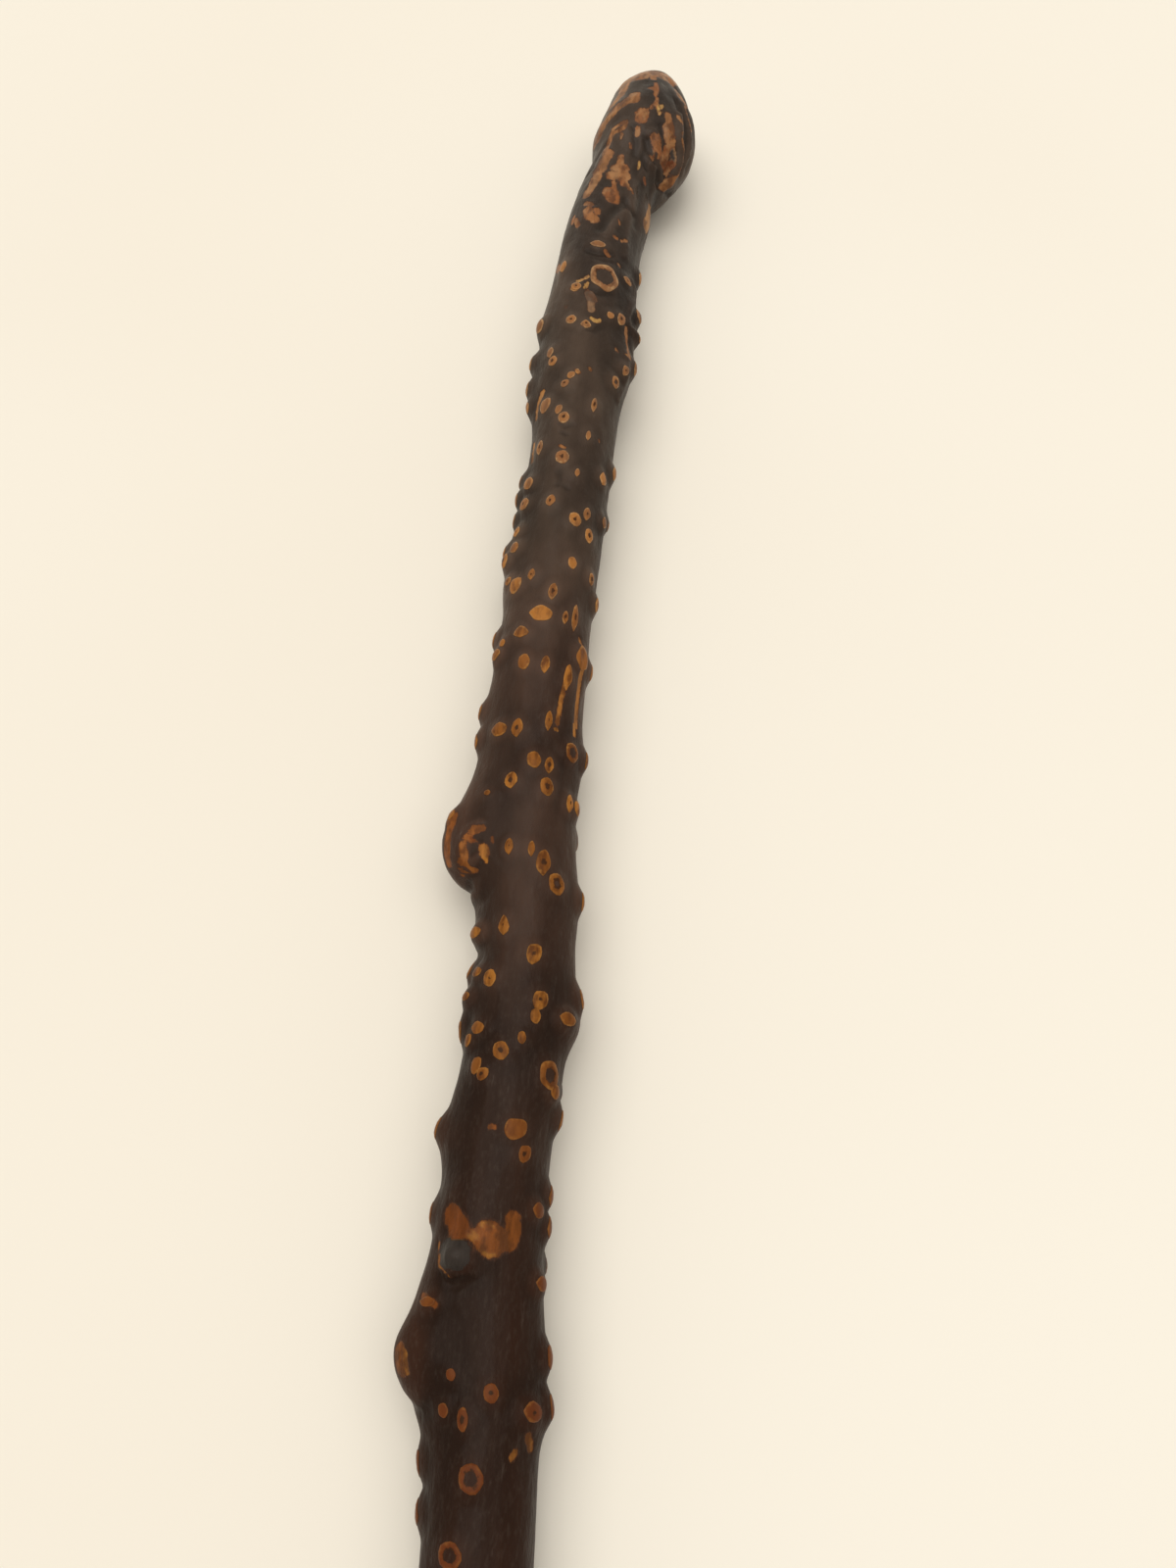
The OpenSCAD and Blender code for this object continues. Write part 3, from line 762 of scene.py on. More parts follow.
# %% List the worn places of the upper shaft
SHAFT_WORN = [
    (1.0, 0.1, [(79, -28), (81, -18)]), (1.7, 0.1, [(83, -22), (86, -18), (88, -9)]),
    (1.0, 0.3, [(83, -9), (85, -6)]), (1.0, 0.3, [(86, -38), (89, -33)]),
    (0.8, 0.4, [(83, -46), (86, -44)]), (0.5, 0.4, [(86, 24), (87, 26)]),
    (0.7, 0.3, [(94, 22), (94, 26)]), (0.8, 0.3, [(94, 34), (93, 39)]),
    (1.4, 0.2, [(102, -74), (104, -60), (107, -51)]), (0.8, -0.8, [(115, -5), (116, -11), (117, -16)]),
    (0.7, -0.7, [(118, -4), (120, -6)]), (0.8, -0.6, [(120, -23), (121, -17)]),
    (0.4, -0.5, [(124, -28), (125, -28)]), (0.4, -0.5, [(127, -28), (128, -28)]),
    (1.7, 1.4, [(122.5, 1), (125, 5)]), (1.2, 1.4, [(125, 4), (129.5, 6)]),
    (0.7, 0.3, [(102, 13), (103, 19)]), (0.5, 0.2, [(105, 33), (106, 36)]),
    (0.8, -0.8, [(133, 8), (134, 13), (133, 18)]), (0.8, 0.2, [(130, 56), (135, 62), (141, 65)]),
    (0.5, -0.2, [(141, 58), (141, 62)]), (0.5, 0.0, [(141, 45), (142, 47)]),
    (1.0, -0.3, [(160, -49), (164, -57), (168, -62)]), (0.7, -0.2, [(155, -2), (156, 1)]),
    (0.5, -0.2, [(153, 13), (154, 15)]), (0.6, 0.0, [(184, -11), (185, -5)]),
    (0.7, -0.3, [(178, -62), (186, -58)]), (0.4, 0.2, [(178, 40), (179, 40)]),
    (0.75, -0.25, [(262, 35), (268, 33), (277, 29)]), (0.5, -0.7, [(279, 27), (279, 30)]),
    (0.9, -0.25, [(253, 54), (259, 57), (267, 59), (275, 60)]), (0.7, -0.4, [(275, 57), (278, 58)]),
    (0.5, -0.3, [(248, 49), (250, 51)]),
]
print("strokes on the upper shaft:", len(SHAFT_WORN))

# %% List the worn places of the burl and below it, and a painted highlight
BURL_WEAR_AND_HIGHLIGHT = [
    (1.1, 0.25, [(307.6, -46.5), (308, -52), (310.1, -57), (311.6, -59)]),
    (1.3, 0.05, [(311, -58.2), (313.2, -60.5), (314.8, -61)]),
    (0.7, 0.3, [(315, -62), (317, -65.5), (318.8, -71)]),
    (0.7, 0.1, [(315, -60.5), (316.8, -61), (318.2, -61), (318, -57.5)]),
    (0.5, 1.3, [(310.9, -53), (311.6, -54)]), (0.7, 0.3, [(301, -72), (304, -76)]),
    (1.4, -0.25, [(313, -46), (314.4, -45)]), (0.7, -0.4, [(315.2, -45), (316.4, -45)]),
    (0.5, 0.8, [(310.4, -38.5), (311.6, -38)]),
    (1.5, 0.4, [(303, -69), (307.6, -72), (312, -74), (315, -76)]), (0.7, 0.4, [(382, -9), (382, -5)]),
    (2.6, 0.7, [(401, -40), (402, -35), (404, -29)]), (3.6, 2.0, [(408.5, -36), (409, -26)]),
    (1.3, -0.2, [(405.3, -15), (405.5, -10)]),
    # The first stroke below is a painted highlight: a pale arc along the left of the grey knot
    (0.35, -0.4, [(406.3, -53), (410.9, -48), (413.5, -36)]), (3.6, 0.5, [(405.5, 0), (406, 4)]),
    (1.9, 0.45, [(401.5, 25), (404, 27), (406.5, 22)]),
    (0.7, -0.4, [(403, -8), (402.6, -2), (403.4, 6)]),
    (0.6, -0.4, [(408.2, -6), (409.2, 1), (408.6, 8)]),
    (0.5, -0.5, [(402, 21), (404.6, 22), (406.5, 18)]), (0.8, 0.6, [(417, -62), (419, -48)]),
    (1.0, -0.2, [(443.6, 53), (445.6, 59)]), (0.7, -0.2, [(447.4, 35), (446.2, 39)]),
    (2.0, 0.35, [(428, -73), (431.5, -72)]), (0.8, -0.5, [(428.4, -68), (432, -67)]),
]
print("strokes on the burl and below it:", len(BURL_WEAR_AND_HIGHLIGHT))

# %% Measure how near the bark is to a stroke
NEVER = -1.0
EDGE_BASE, EDGE_SHARE = 0.5, 0.35
bare = np.full(radius.shape, NEVER)
tint = np.zeros_like(radius)
skin, below = surface_points(), down_from_crown()
WEAR_AND_HIGHLIGHTS = KNOB_WORN + EAR_WEAR_AND_HIGHLIGHTS + SHAFT_WORN + BURL_WEAR_AND_HIGHLIGHT
for half_width, colour, places in WEAR_AND_HIGHLIGHTS:
    rows, away = distance_to(places, half_width)
    field = np.clip((half_width - away) / (EDGE_BASE + EDGE_SHARE * half_width), NEVER, 1)
    wins = field > bare[rows]
    tint[rows] = np.where(wins, colour, tint[rows])
    bare[rows] = np.maximum(bare[rows], field)
print("worn places:", len(WEAR_AND_HIGHLIGHTS), " share of the net:", round(float((bare > 0).mean()), 3))

# %% Raise the knob's high places and sink the wear
WEAR_DEPTH = 0.22
WEAR_FROM, WEAR_TO = -0.2, 0.3
HIGH_PLACES = 0.75
HIGH_FROM, HIGH_TO, HIGH_REACH = -0.7, 0.5, 1.4
KNOB_FADES, KNOB_ENDS = 85, 95
high_places = smooth(ramp(bare, HIGH_FROM, HIGH_TO), HIGH_REACH)
high_places *= 1 - ramp(below, KNOB_FADES, KNOB_ENDS)
radius += HIGH_PLACES * high_places - WEAR_DEPTH * ramp(bare, WEAR_FROM, WEAR_TO)
print("raised by up to", (HIGH_PLACES * high_places).max().round(2), "mm")

# %% [markdown]
# ## Waves in the bark
#
# No bark is even between its scars. Three layers of noise, from the size of a thumb down to that of a
# seed, lift and sink the net. They are drawn out along the stick, as bark grows, and are livelier on
# the knob. How far a place then stands proud of its surroundings is kept for the material, which
# paints the high places lighter and the hollows darker, as painted light and painted shade.

# %% Roughen the bark by waves
# Each wave: height in mm, and how often it comes in a mm along the stick and round it
WAVES = ((0.16, 0.03, 0.09), (0.07, 0.10, 0.25), (0.03, 0.35, 0.7))
KNOB_WAVES = 2.2
LIVELY_TO, CALM_FROM = 90, 280
LEVEL_REACH = 3.5
skin = surface_points()
livelier = 1 + KNOB_WAVES * (1 - ramp(below, LIVELY_TO, CALM_FROM))
for height, along_rate, round_rate in WAVES:
    rate = np.array((along_rate, round_rate, round_rate))
    for i in range(1, ring_count):
        for j in range(SIDES):
            radius[i, j] += height * livelier[i, j] * noise.noise(Vector(skin[i, j] * rate))
# How far each place stands proud. The bark's material turns it into painted light on high places and
# painted shade in hollows
proud = radius - smooth(radius, LEVEL_REACH)
print("waves:", len(WAVES), " proud by", proud[crown_rings:].min().round(2), "to",
      proud[crown_rings:].max().round(2), "mm")

# %% [markdown]
# ## The bark as a shell
#
# On the real stick the bark is a layer about as thick as a coin, so the piece is a closed shell: the
# fine net outside, a coarse copy of it inside, and a rim at the foot where the ferrule begins. The
# inner wall is never seen, which is why it can do with a fraction of the faces.

# %% Define helpers for closed pieces
def net_faces(first, rings, sides):
    """Faces of a net that starts in a pole: the pole's index, then rings of points after it."""
    def at(i, j):
        return first + 1 + i * sides + j % sides
    faces = [(first, at(0, j), at(0, j + 1)) for j in range(sides)]
    for i in range(rings - 1):
        faces += [(at(i, j), at(i + 1, j), at(i + 1, j + 1), at(i, j + 1)) for j in range(sides)]
    return faces, [at(rings - 1, j) for j in range(sides)]


def finish_piece(name, points, faces, material, replaced):
    """Makes a closed piece from points in millimetres, with outward faces, and hands it to the frame."""
    mesh = bpy.data.meshes.new(name)
    mesh.from_pydata((np.asarray(points) * MM).tolist(), [], faces)
    work = bmesh.new()
    work.from_mesh(mesh)
    bmesh.ops.recalc_face_normals(work, faces=work.faces)
    work.to_mesh(mesh)
    work.free()
    mesh.shade_smooth()
    mesh.materials.append(material)
    piece = bpy.data.objects.new(name, mesh)
    scene.collection.objects.link(piece)
    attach(piece, "root")
    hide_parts(replaced)
    return piece


def keep_on_mesh(mesh, name, values):
    layer = mesh.attributes.new(name, "FLOAT", "POINT")
    layer.data.foreach_set("value", np.asarray(values, np.float32))


print("a net of 3 rings and 4 sides has", len(net_faces(0, 3, 4)[0]), "faces")

# %% Build the bark
BARK_THICKNESS = (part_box("bark")[1].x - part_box("wood_core")[1].x) / MM
INNER_EVERY_RING = 6
INNER_EVERY_SIDE = 4


def inner_net(depth):
    rows = np.unique(np.append(np.arange(1, ring_count, INNER_EVERY_RING), ring_count - 1))
    columns = np.arange(0, SIDES, INNER_EVERY_SIDE)
    calm = smooth(radius, FACET_ROUNDING) - depth
    points = net_centres + calm[..., None] * net_out
    return points[0, 0], points[np.ix_(rows, columns)]


skin = surface_points()
outer_faces, outer_rim = net_faces(0, ring_count - 1, SIDES)
inner_pole, inner_points = inner_net(BARK_THICKNESS)
inner_start = 1 + (ring_count - 1) * SIDES
inner_faces, inner_rim = net_faces(inner_start, *inner_points.shape[:2])
rim_faces = []
for k in range(len(inner_rim)):
    outside = [outer_rim[(k * INNER_EVERY_SIDE + n) % SIDES] for n in range(INNER_EVERY_SIDE + 1)]
    rim_faces.append((inner_rim[(k + 1) % len(inner_rim)], inner_rim[k], *outside))
bark_points = np.concatenate([skin[:1, 0], skin[1:].reshape(-1, 3),
                              [inner_pole], inner_points.reshape(-1, 3)])


def on_outer(net, inside):
    hidden = np.full(len(bark_points) - inner_start, inside)
    return np.concatenate([net[:1, 0], net[1:].ravel(), hidden])


print("bark:", len(bark_points), "points,", round(BARK_THICKNESS, 2), "mm thick")

# %% [markdown]
# ## Varnished bark
#
# Old blackthorn bark is nearly black, greyer at the knob and browner down the shaft, under a satin
# varnish that shines most on the knob. One broad noise, drawn out along the shaft, shifts the brown,
# and others scuff it and break up the gloss. The attribute "proud" gives painted light to the high
# places and painted shade to the hollows. The worn places read the attributes "bare" and "tint". All
# three are kept on the mesh, because no pattern could know where this one stick is worn. Places along
# the stick are Object coordinate X in metres, with the crown at 0.45.

# %% Mix the colour of worn wood
LEAST_TINT, MOST_TINT = -1, 2
# Where each colour sits between the least and the most tint, from pale chips to the grey knot
WORN_COLOURS = (
    (0.0, (200, 158, 92)), (0.2, (176, 124, 66)), (0.33, (152, 103, 63)), (0.45, (146, 91, 50)),
    (0.66, (114, 60, 30)), (0.8, (104, 82, 66)), (0.9, (56, 47, 42)), (1.0, (58, 56, 66)),
)


def tint_colour(tree, tint_value):
    ramp_node = put(tree, "ShaderNodeValToRGB", {"Fac": remap(tree, tint_value, LEAST_TINT, MOST_TINT)})
    stops = ramp_node.color_ramp.elements
    stops[0].color = rgb(*WORN_COLOURS[0][1])
    stops[1].color = rgb(*WORN_COLOURS[-1][1])
    for stop, colour in WORN_COLOURS[1:-1]:
        stops.new(stop).color = rgb(*colour)
    return ramp_node.outputs["Color"]


def worn_wood_colour(tree, tint_value, depth, dark_edge, place):
    fibres = pattern(tree, 500, (0.3, 1, 1), detail=5)
    dark = remap(tree, fibres, 0.35, 0.62, 0.58, 1.0)
    shaded = shade(tree, tint_colour(tree, tint_value), dark)
    blotches = remap(tree, pattern(tree, 260, (0.7, 1, 1), detail=4), 0.48, 0.6, 0.0, 0.85)
    blotches = reckon(tree, "MULTIPLY", blotches, dark_edge)
    shaded = blend_colours(tree, blotches, shaded, rgb(88, 54, 33))
    # Lighter streaks on the knob's worn wood are a painted sheen of the varnish, fading out down the shaft
    painted_sheen = remap(tree, pattern(tree, 190, (0.7, 1, 1), detail=4), 0.5, 0.62, 0.0, 0.55)
    painted_sheen = reckon(tree, "MULTIPLY", painted_sheen, remap(tree, place, 0.2, 0.36))
    shaded = blend_colours(tree, painted_sheen, shaded, rgb(174, 130, 88))
    stained = reckon(tree, "MULTIPLY", remap(tree, depth, 0.0, 0.4, 0.6, 0.0), dark_edge)
    shaded = blend_colours(tree, stained, shaded, rgb(96, 59, 37))
    golden = blend_colours(tree, remap(tree, place, 0.16, 0.32), rgb(255, 236, 190), rgb(255, 255, 255))
    shaded = shade(tree, shaded, golden)
    # The worn wood darkens towards the foot, partly as painted shade of dimmer light there
    return shade(tree, shaded, remap(tree, place, 0.0, 0.14, 0.68, 1.0))


print("colours of worn wood:", len(WORN_COLOURS))

# %% Mix the colour of the bark
# The dark and the light shade of the bark low on the shaft, in its middle, and from there to the crown
# Low on the shaft the bark is darker, partly as painted shade of dimmer light towards the foot
BARK_SHADES = (((28, 13, 7), (45, 25, 16)), ((42, 26, 19), (80, 59, 48)), ((34, 24, 19), (72, 58, 48)))
LOW_TO_MIDDLE = (0.03, 0.16)
MIDDLE_TO_HIGH = (0.19, 0.24)


def bark_colour(tree, place, fine):
    broad = remap(tree, pattern(tree, 45, (0.35, 1, 1)), 0.35, 0.65)
    brown, warm, grey = (blend_colours(tree, broad, rgb(*dark), rgb(*light)) for dark, light in BARK_SHADES)
    colour = blend_colours(tree, remap(tree, place, *LOW_TO_MIDDLE), brown, warm)
    colour = blend_colours(tree, remap(tree, place, *MIDDLE_TO_HIGH), colour, grey)
    colour = blend_colours(tree, remap(tree, fine, 0.5, 0.75, 0.0, 0.35), colour, rgb(66, 54, 46))
    scuffs = pattern(tree, 170, (0.5, 2.2, 2.2), detail=6, roughness=0.7)
    colour = blend_colours(tree, remap(tree, scuffs, 0.62, 0.72, 0.0, 0.45), colour, rgb(82, 70, 62))
    # Painted light on the high places and painted shade in the hollows, from how far each place stands
    # proud
    return shade(tree, colour, remap(tree, attribute(tree, "proud"), -0.35, 0.35, 0.6, 1.35))


def worn_edge(tree, place):
    """The attribute "bare" with a ragged edge, most so on the knob. Above 0 the bark is worn off."""
    ragged = pattern(tree, 420, (0.55, 1, 1), detail=5, roughness=0.65)
    ragged = remap(tree, ragged, 0.25, 0.75, -0.45, 0.45)
    ragged = reckon(tree, "MULTIPLY", ragged, remap(tree, place, 0.3, 0.37, 0.5, 1.0))
    frayed = remap(tree, pattern(tree, 1500, (0.6, 1, 1), detail=4), 0.25, 0.75, -0.22, 0.22)
    return reckon(tree, "ADD", attribute(tree, "bare"), reckon(tree, "ADD", ragged, frayed))


print("bark shades:", len(BARK_SHADES))


# %% Make the bark's material
def varnished_bark():
    material, tree, shader = start_material("varnished bark", Coat_Roughness=0.16,
                                            Specular_IOR_Level=0.08,
                                            Specular_Tint=rgb(255, 226, 200))
    place = along_stick(tree)
    fine = pattern(tree, 1100, (0.5, 1, 1), detail=3)
    tint_value = attribute(tree, "tint")
    edge = worn_edge(tree, place)
    worn = remap(tree, edge, -0.06, 0.10, smooth=True)
    lip = remap(tree, edge, -0.45, 0.0, 0.0, 0.55, smooth=True)
    not_dark = remap(tree, tint_value, 1.2, 1.8, 1.0, 0.0)
    lip = reckon(tree, "MULTIPLY", lip, not_dark)
    colour = blend_colours(tree, lip, bark_colour(tree, place, fine), rgb(72, 44, 30))
    wood = worn_wood_colour(tree, tint_value, edge, not_dark, place)
    grain = raised(tree, fine, 0.25, 0.0003)
    pores = raised(tree, pattern(tree, 380, (0.45, 1, 1), detail=6), 0.7, 0.0008, grain)
    gloss = pattern(tree, 260, (0.4, 1, 1), detail=6)
    dress(tree, shader,
          Base_Color=blend_colours(tree, worn, colour, wood),
          Coat_Weight=remap(tree, place, 0.32, 0.39, 0.07, 0.15),
          Roughness=remap(tree, gloss, 0.3, 0.7, 0.34, 0.56),
          Normal=raised(tree, reckon(tree, "SUBTRACT", 1.0, worn), 0.5, 0.0002, pores))
    return material


bark = finish_piece("bark_skin", bark_points, outer_faces + inner_faces + rim_faces, varnished_bark(),
                    "bark")
for name, net, inside in (("bare", bare, NEVER), ("tint", tint, 0.0), ("proud", proud, 0.0)):
    keep_on_mesh(bark.data, name, on_outer(net, inside))
bark.data.calc_loop_triangles()
print("bark_skin:", len(bark.data.loop_triangles), "triangles")

# %% [markdown]
# ## Faces of the stubs
#
# A trimmed thorn shows as a flush, polished spot of bare wood: a leaf or a disc with a pale rim, an
# orange body and a dark pith. Some two hundred of them, all alike in kind, are a case for Geometry
# Nodes. Five outlines are drawn once, each in a coarse and a fine version. The tree puts one on each
# point, turns it along the shaft, gives it the stub's length and width, and makes it all plain mesh
# again. The faces are then draped over the bark, so that each follows its own mound.

# %% Draw the outlines of a stub face
# How finely a small and a large face are drawn: points round it, rings from its middle to its skirt
FINENESS = ((14, (0.5, 0.84, 1.0, 1.05)),
            (40, (0.15, 0.3, 0.45, 0.55, 0.63, 0.72, 0.82, 0.92, 1.0, 1.04)))
DISC, LEAF, DROP, BEAN, CROSS_LEAF = OUTLINES = range(5)


def outline_point(kind, turn):
    x, y = math.cos(turn), math.sin(turn)
    if kind in (LEAF, DROP):
        y = math.copysign(abs(y) ** 1.45, y) * (1 + (0.35 * x if kind == DROP else 0.0))
    if kind == BEAN:
        y -= 0.32 * math.cos(1.3 * x) * (y < 0) * y
        x *= 1 + 0.12 * math.sin(3 * turn + 1)
    if kind == CROSS_LEAF:
        x = math.copysign(abs(x) ** 1.35, x)
    wobble = 1 + 0.05 * math.sin(2 * turn + 3 * kind) + 0.04 * math.sin(5 * turn + kind)
    return x * wobble, y * wobble


outline_store = bpy.data.collections.new("stub outlines")
for size, (corners, rings) in enumerate(FINENESS):
    for kind in OUTLINES:
        edge = [outline_point(kind, 2 * math.pi * k / corners) for k in range(corners)]
        points = [(0, 0, 0)] + [(r * x, r * y, 0) for r in rings for x, y in edge]
        outline_mesh = bpy.data.meshes.new(f"outline_{size}_{kind}")
        faces, skirt = net_faces(0, len(rings), corners)
        outline_mesh.from_pydata(points, [], faces + [tuple(reversed(skirt))])
        keep_on_mesh(outline_mesh, "rim", [0.0] + [r for r in rings for _ in edge])
        outline_store.objects.link(bpy.data.objects.new(outline_mesh.name, outline_mesh))
        if kind == DISC:
            print("outline:", len(outline_mesh.polygons), "faces")

# %% Choose each stub's outline and wood
LARGE_FACE = 6.4
TONE_BY_CHANCE, TONE_LOWER_DOWN, TONE_ROUND_HEART = 0.75, 0.6, 0.5
# TONE_LOWER_DOWN darkens the faces from PALE_TO to DARK_FROM down the stick, partly as painted shade
PALE_TO, DARK_FROM = 370, 440
LARGE_HEART = 0.4


def tone_of(place, heart):
    tone = TONE_BY_CHANCE * dice.random() + TONE_LOWER_DOWN * ramp(place, PALE_TO, DARK_FROM)
    return min(1.0, tone + TONE_ROUND_HEART * (heart > LARGE_HEART))


stub_places, stub_degrees, stub_lengths, stub_widths, kinds, hearts = np.array(stubs).T
large = np.maximum(stub_lengths, stub_widths) > LARGE_FACE
shapes = (kinds + len(OUTLINES) * large).astype(int)
tones = [tone_of(place, heart) for place, heart in zip(stub_places, hearts)]
print("large faces:", int(large.sum()), " with a heart:", int((hearts > 0).sum()))

# %% Build the Geometry Nodes tree
cap_tree = bpy.data.node_groups.new("stub faces", "GeometryNodeTree")
for name, kind in (("Geometry", "Geometry"), ("Outlines", "Collection"),
                   ("Growth", "Float"), ("Wood", "Material")):
    cap_tree.interface.new_socket(name, in_out="INPUT", socket_type="NodeSocket" + kind)
cap_tree.interface.new_socket("Geometry", in_out="OUTPUT", socket_type="NodeSocketGeometry")
given = put(cap_tree, "NodeGroupInput")
made = put(cap_tree, "NodeGroupOutput")


def named(name, kind):
    node = put(cap_tree, "GeometryNodeInputNamedAttribute", {"Name": name}, data_type=kind)
    return node.outputs["Attribute"]


chosen = put(cap_tree, "GeometryNodeCollectionInfo",
             {"Collection": given.outputs["Outlines"],
              "Separate Children": True, "Reset Children": True})
turned = put(cap_tree, "FunctionNodeAxesToRotation", primary_axis="Z", secondary_axis="X")
feed(cap_tree, turned.inputs[0], named("outward", "FLOAT_VECTOR"))
feed(cap_tree, turned.inputs[1], named("along", "FLOAT_VECTOR"))
grown = put(cap_tree, "ShaderNodeVectorMath", {"Scale": given.outputs["Growth"]}, operation="SCALE")
feed(cap_tree, grown.inputs[0], named("half_size", "FLOAT_VECTOR"))
spread = put(cap_tree, "GeometryNodeInstanceOnPoints",
             {"Points": given.outputs["Geometry"], "Instance": chosen.outputs[0],
              "Pick Instance": True, "Instance Index": named("shape", "INT"),
              "Rotation": turned.outputs[0], "Scale": grown.outputs[0]})
solid = put(cap_tree, "GeometryNodeRealizeInstances", {"Geometry": spread.outputs[0]})
coated = put(cap_tree, "GeometryNodeSetMaterial",
             {"Geometry": solid.outputs[0], "Material": given.outputs["Wood"]})
feed(cap_tree, made.inputs[0], coated.outputs[0])
print("tree nodes:", len(cap_tree.nodes))

# %% [markdown]
# ## Wood of the stubs
#
# The face of a stub is end grain under varnish. Its colour follows the attribute "rim", which is 0 at
# the pith and 1 at the edge. Two more attributes, one value per stub, give each its own tone and the
# size of its dark heart. Noise added to "rim" keeps the rings from looking drawn with compasses.


# %% Make the stub wood
def stub_wood():
    material, tree, shader = start_material("stub wood", Coat_Weight=0.05, Coat_Roughness=0.25,
                                            Specular_IOR_Level=0.08, Specular_Tint=rgb(255, 226, 190))
    rim, heart, tone = (attribute(tree, name) for name in ("rim", "heart", "tone"))
    place = along_stick(tree)
    rough = remap(tree, pattern(tree, 900, detail=5), 0.3, 0.7, -0.18, 0.18)
    radius_here = reckon(tree, "ADD", rim, rough)
    body = blend_colours(tree, tone, rgb(170, 108, 42), rgb(112, 62, 26))
    streaks = remap(tree, pattern(tree, 420, (0.4, 1, 1), detail=5), 0.42, 0.62)
    body = blend_colours(tree, streaks, body, rgb(96, 54, 22))
    # Toward the knob the body and the pale rim are paled by a painted sheen of the varnish
    sheen_toward_knob = remap(tree, place, 0.18, 0.27)
    body = blend_colours(tree, reckon(tree, "MULTIPLY", sheen_toward_knob, 0.3), body, rgb(160, 124, 94))
    uneven = remap(tree, pattern(tree, 300, detail=3), 0.4, 0.6, 0.1, 0.6)
    lit = reckon(tree, "MULTIPLY", remap(tree, radius_here, 0.7, 1.04, smooth=True), uneven)
    pale_rim_and_sheen = blend_colours(tree, sheen_toward_knob, rgb(184, 128, 62), rgb(206, 166, 118))
    body = blend_colours(tree, lit, body, pale_rim_and_sheen)
    body = blend_colours(tree, remap(tree, place, 0.0, 0.1, 0.55, 0.0), body, rgb(122, 58, 30))
    inside = reckon(tree, "SUBTRACT", radius_here, heart)
    pith = remap(tree, inside, -0.06, 0.14, 1.0, 0.0, smooth=True)
    there = remap(tree, heart, 0.02, 0.1)
    colour = blend_colours(tree, reckon(tree, "MULTIPLY", pith, there), body, rgb(62, 36, 20))
    colour = blend_colours(tree, remap(tree, rim, 0.98, 1.03), colour, rgb(70, 42, 28))
    # The faces darken towards the foot, partly as painted shade of dimmer light there
    dress(tree, shader,
          Base_Color=shade(tree, colour, remap(tree, place, 0.0, 0.2, 0.68, 1.0)),
          Roughness=remap(tree, pattern(tree, 700), 0.3, 0.7, 0.3, 0.48),
          Normal=raised(tree, pattern(tree, 1300, detail=4), 0.3, 0.0003))
    return material


stub_material = stub_wood()
print("material:", stub_material.name)


# %% Put a point on every stub
def ring_at(places):
    return crown_rings + np.interp(places, shaft_places, np.arange(shaft_rings))


stub_out = outward(stub_places, stub_degrees)
stub_along = directions(stub_places)[0]
stub_points = (on_axis(axis_points, stub_places)
               + sample(radius, ring_at(stub_places), stub_degrees)[:, None] * stub_out)
half_sizes = np.stack([stub_lengths / 2, stub_widths / 2, np.ones(len(stubs))], axis=1) * MM
point_mesh = bpy.data.meshes.new("stub points")
point_mesh.from_pydata((stub_points * MM).tolist(), [], [])
for name, vectors in (("outward", stub_out), ("along", stub_along), ("half_size", half_sizes)):
    layer = point_mesh.attributes.new(name, "FLOAT_VECTOR", "POINT")
    layer.data.foreach_set("vector", vectors.astype(np.float32).ravel())
keep_on_mesh(point_mesh, "heart", hearts)
keep_on_mesh(point_mesh, "tone", tones)
point_mesh.attributes.new("shape", "INT", "POINT").data.foreach_set("value", shapes)
print("points:", len(point_mesh.vertices))

# %% Spread the faces over the stubs
CAP_GROWTH = 1.0
spreader = bpy.data.objects.new("stub spreader", point_mesh)
scene.collection.objects.link(spreader)
modifier = spreader.modifiers.new("stub faces", "NODES")
modifier.node_group = cap_tree
socket_of = {item.name: item.identifier for item in cap_tree.interface.items_tree
             if item.in_out == "INPUT"}
for name, value in (("Outlines", outline_store), ("Growth", CAP_GROWTH), ("Wood", stub_material)):
    modifier[socket_of[name]] = value
evaluated = spreader.evaluated_get(bpy.context.evaluated_depsgraph_get())
cap_mesh = bpy.data.meshes.new_from_object(evaluated)
bpy.data.objects.remove(spreader)
for drawn in list(outline_store.objects):
    bpy.data.objects.remove(drawn)
print("stub faces:", len(cap_mesh.polygons), "faces of", len(stubs), "stubs")

# %% Drape the faces over their mounds
CAP_LIFT = 0.24
CAP_EDGE_LIFT = 0.12
CAP_SKIRT_DEPTH = 0.9
SKIRT_STARTS = 1.01
SUNK_HEART, SUNK_DEPTH = 0.42, 0.4
HEART_MARGIN, HEART_SLOPE = 0.1, 0.2


def read_back(source, name, width=1):
    values = np.empty(len(cap_mesh.vertices) * width, np.float32)
    source.foreach_get(name, values)
    return values


flat = read_back(cap_mesh.vertices, "co", 3).reshape(-1, 3)
rim, heart = (read_back(cap_mesh.attributes[name].data, "value") for name in ("rim", "heart"))
cap_places, cap_degrees = place_of(flat / MM)
domed = CAP_EDGE_LIFT + (CAP_LIFT - CAP_EDGE_LIFT) * (1 - rim ** 2)
lift = np.where(rim > SKIRT_STARTS, -CAP_SKIRT_DEPTH, domed)
sunk = SUNK_DEPTH * ramp(heart + HEART_MARGIN - rim, 0.0, HEART_SLOPE)
lift -= np.where(heart > SUNK_HEART, sunk, 0.0)
arms = sample(radius, ring_at(cap_places), cap_degrees) + lift
draped = on_axis(axis_points, cap_places) + arms[:, None] * outward(cap_places, cap_degrees)
cap_mesh.vertices.foreach_set("co", (draped * MM).astype(np.float32).ravel())
cap_mesh.update()
cap_mesh.shade_smooth()
caps = bpy.data.objects.new("stub_faces", cap_mesh)
scene.collection.objects.link(caps)
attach(caps, "root")
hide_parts("thorn_stubs")
print("draped:", len(rim), "points")

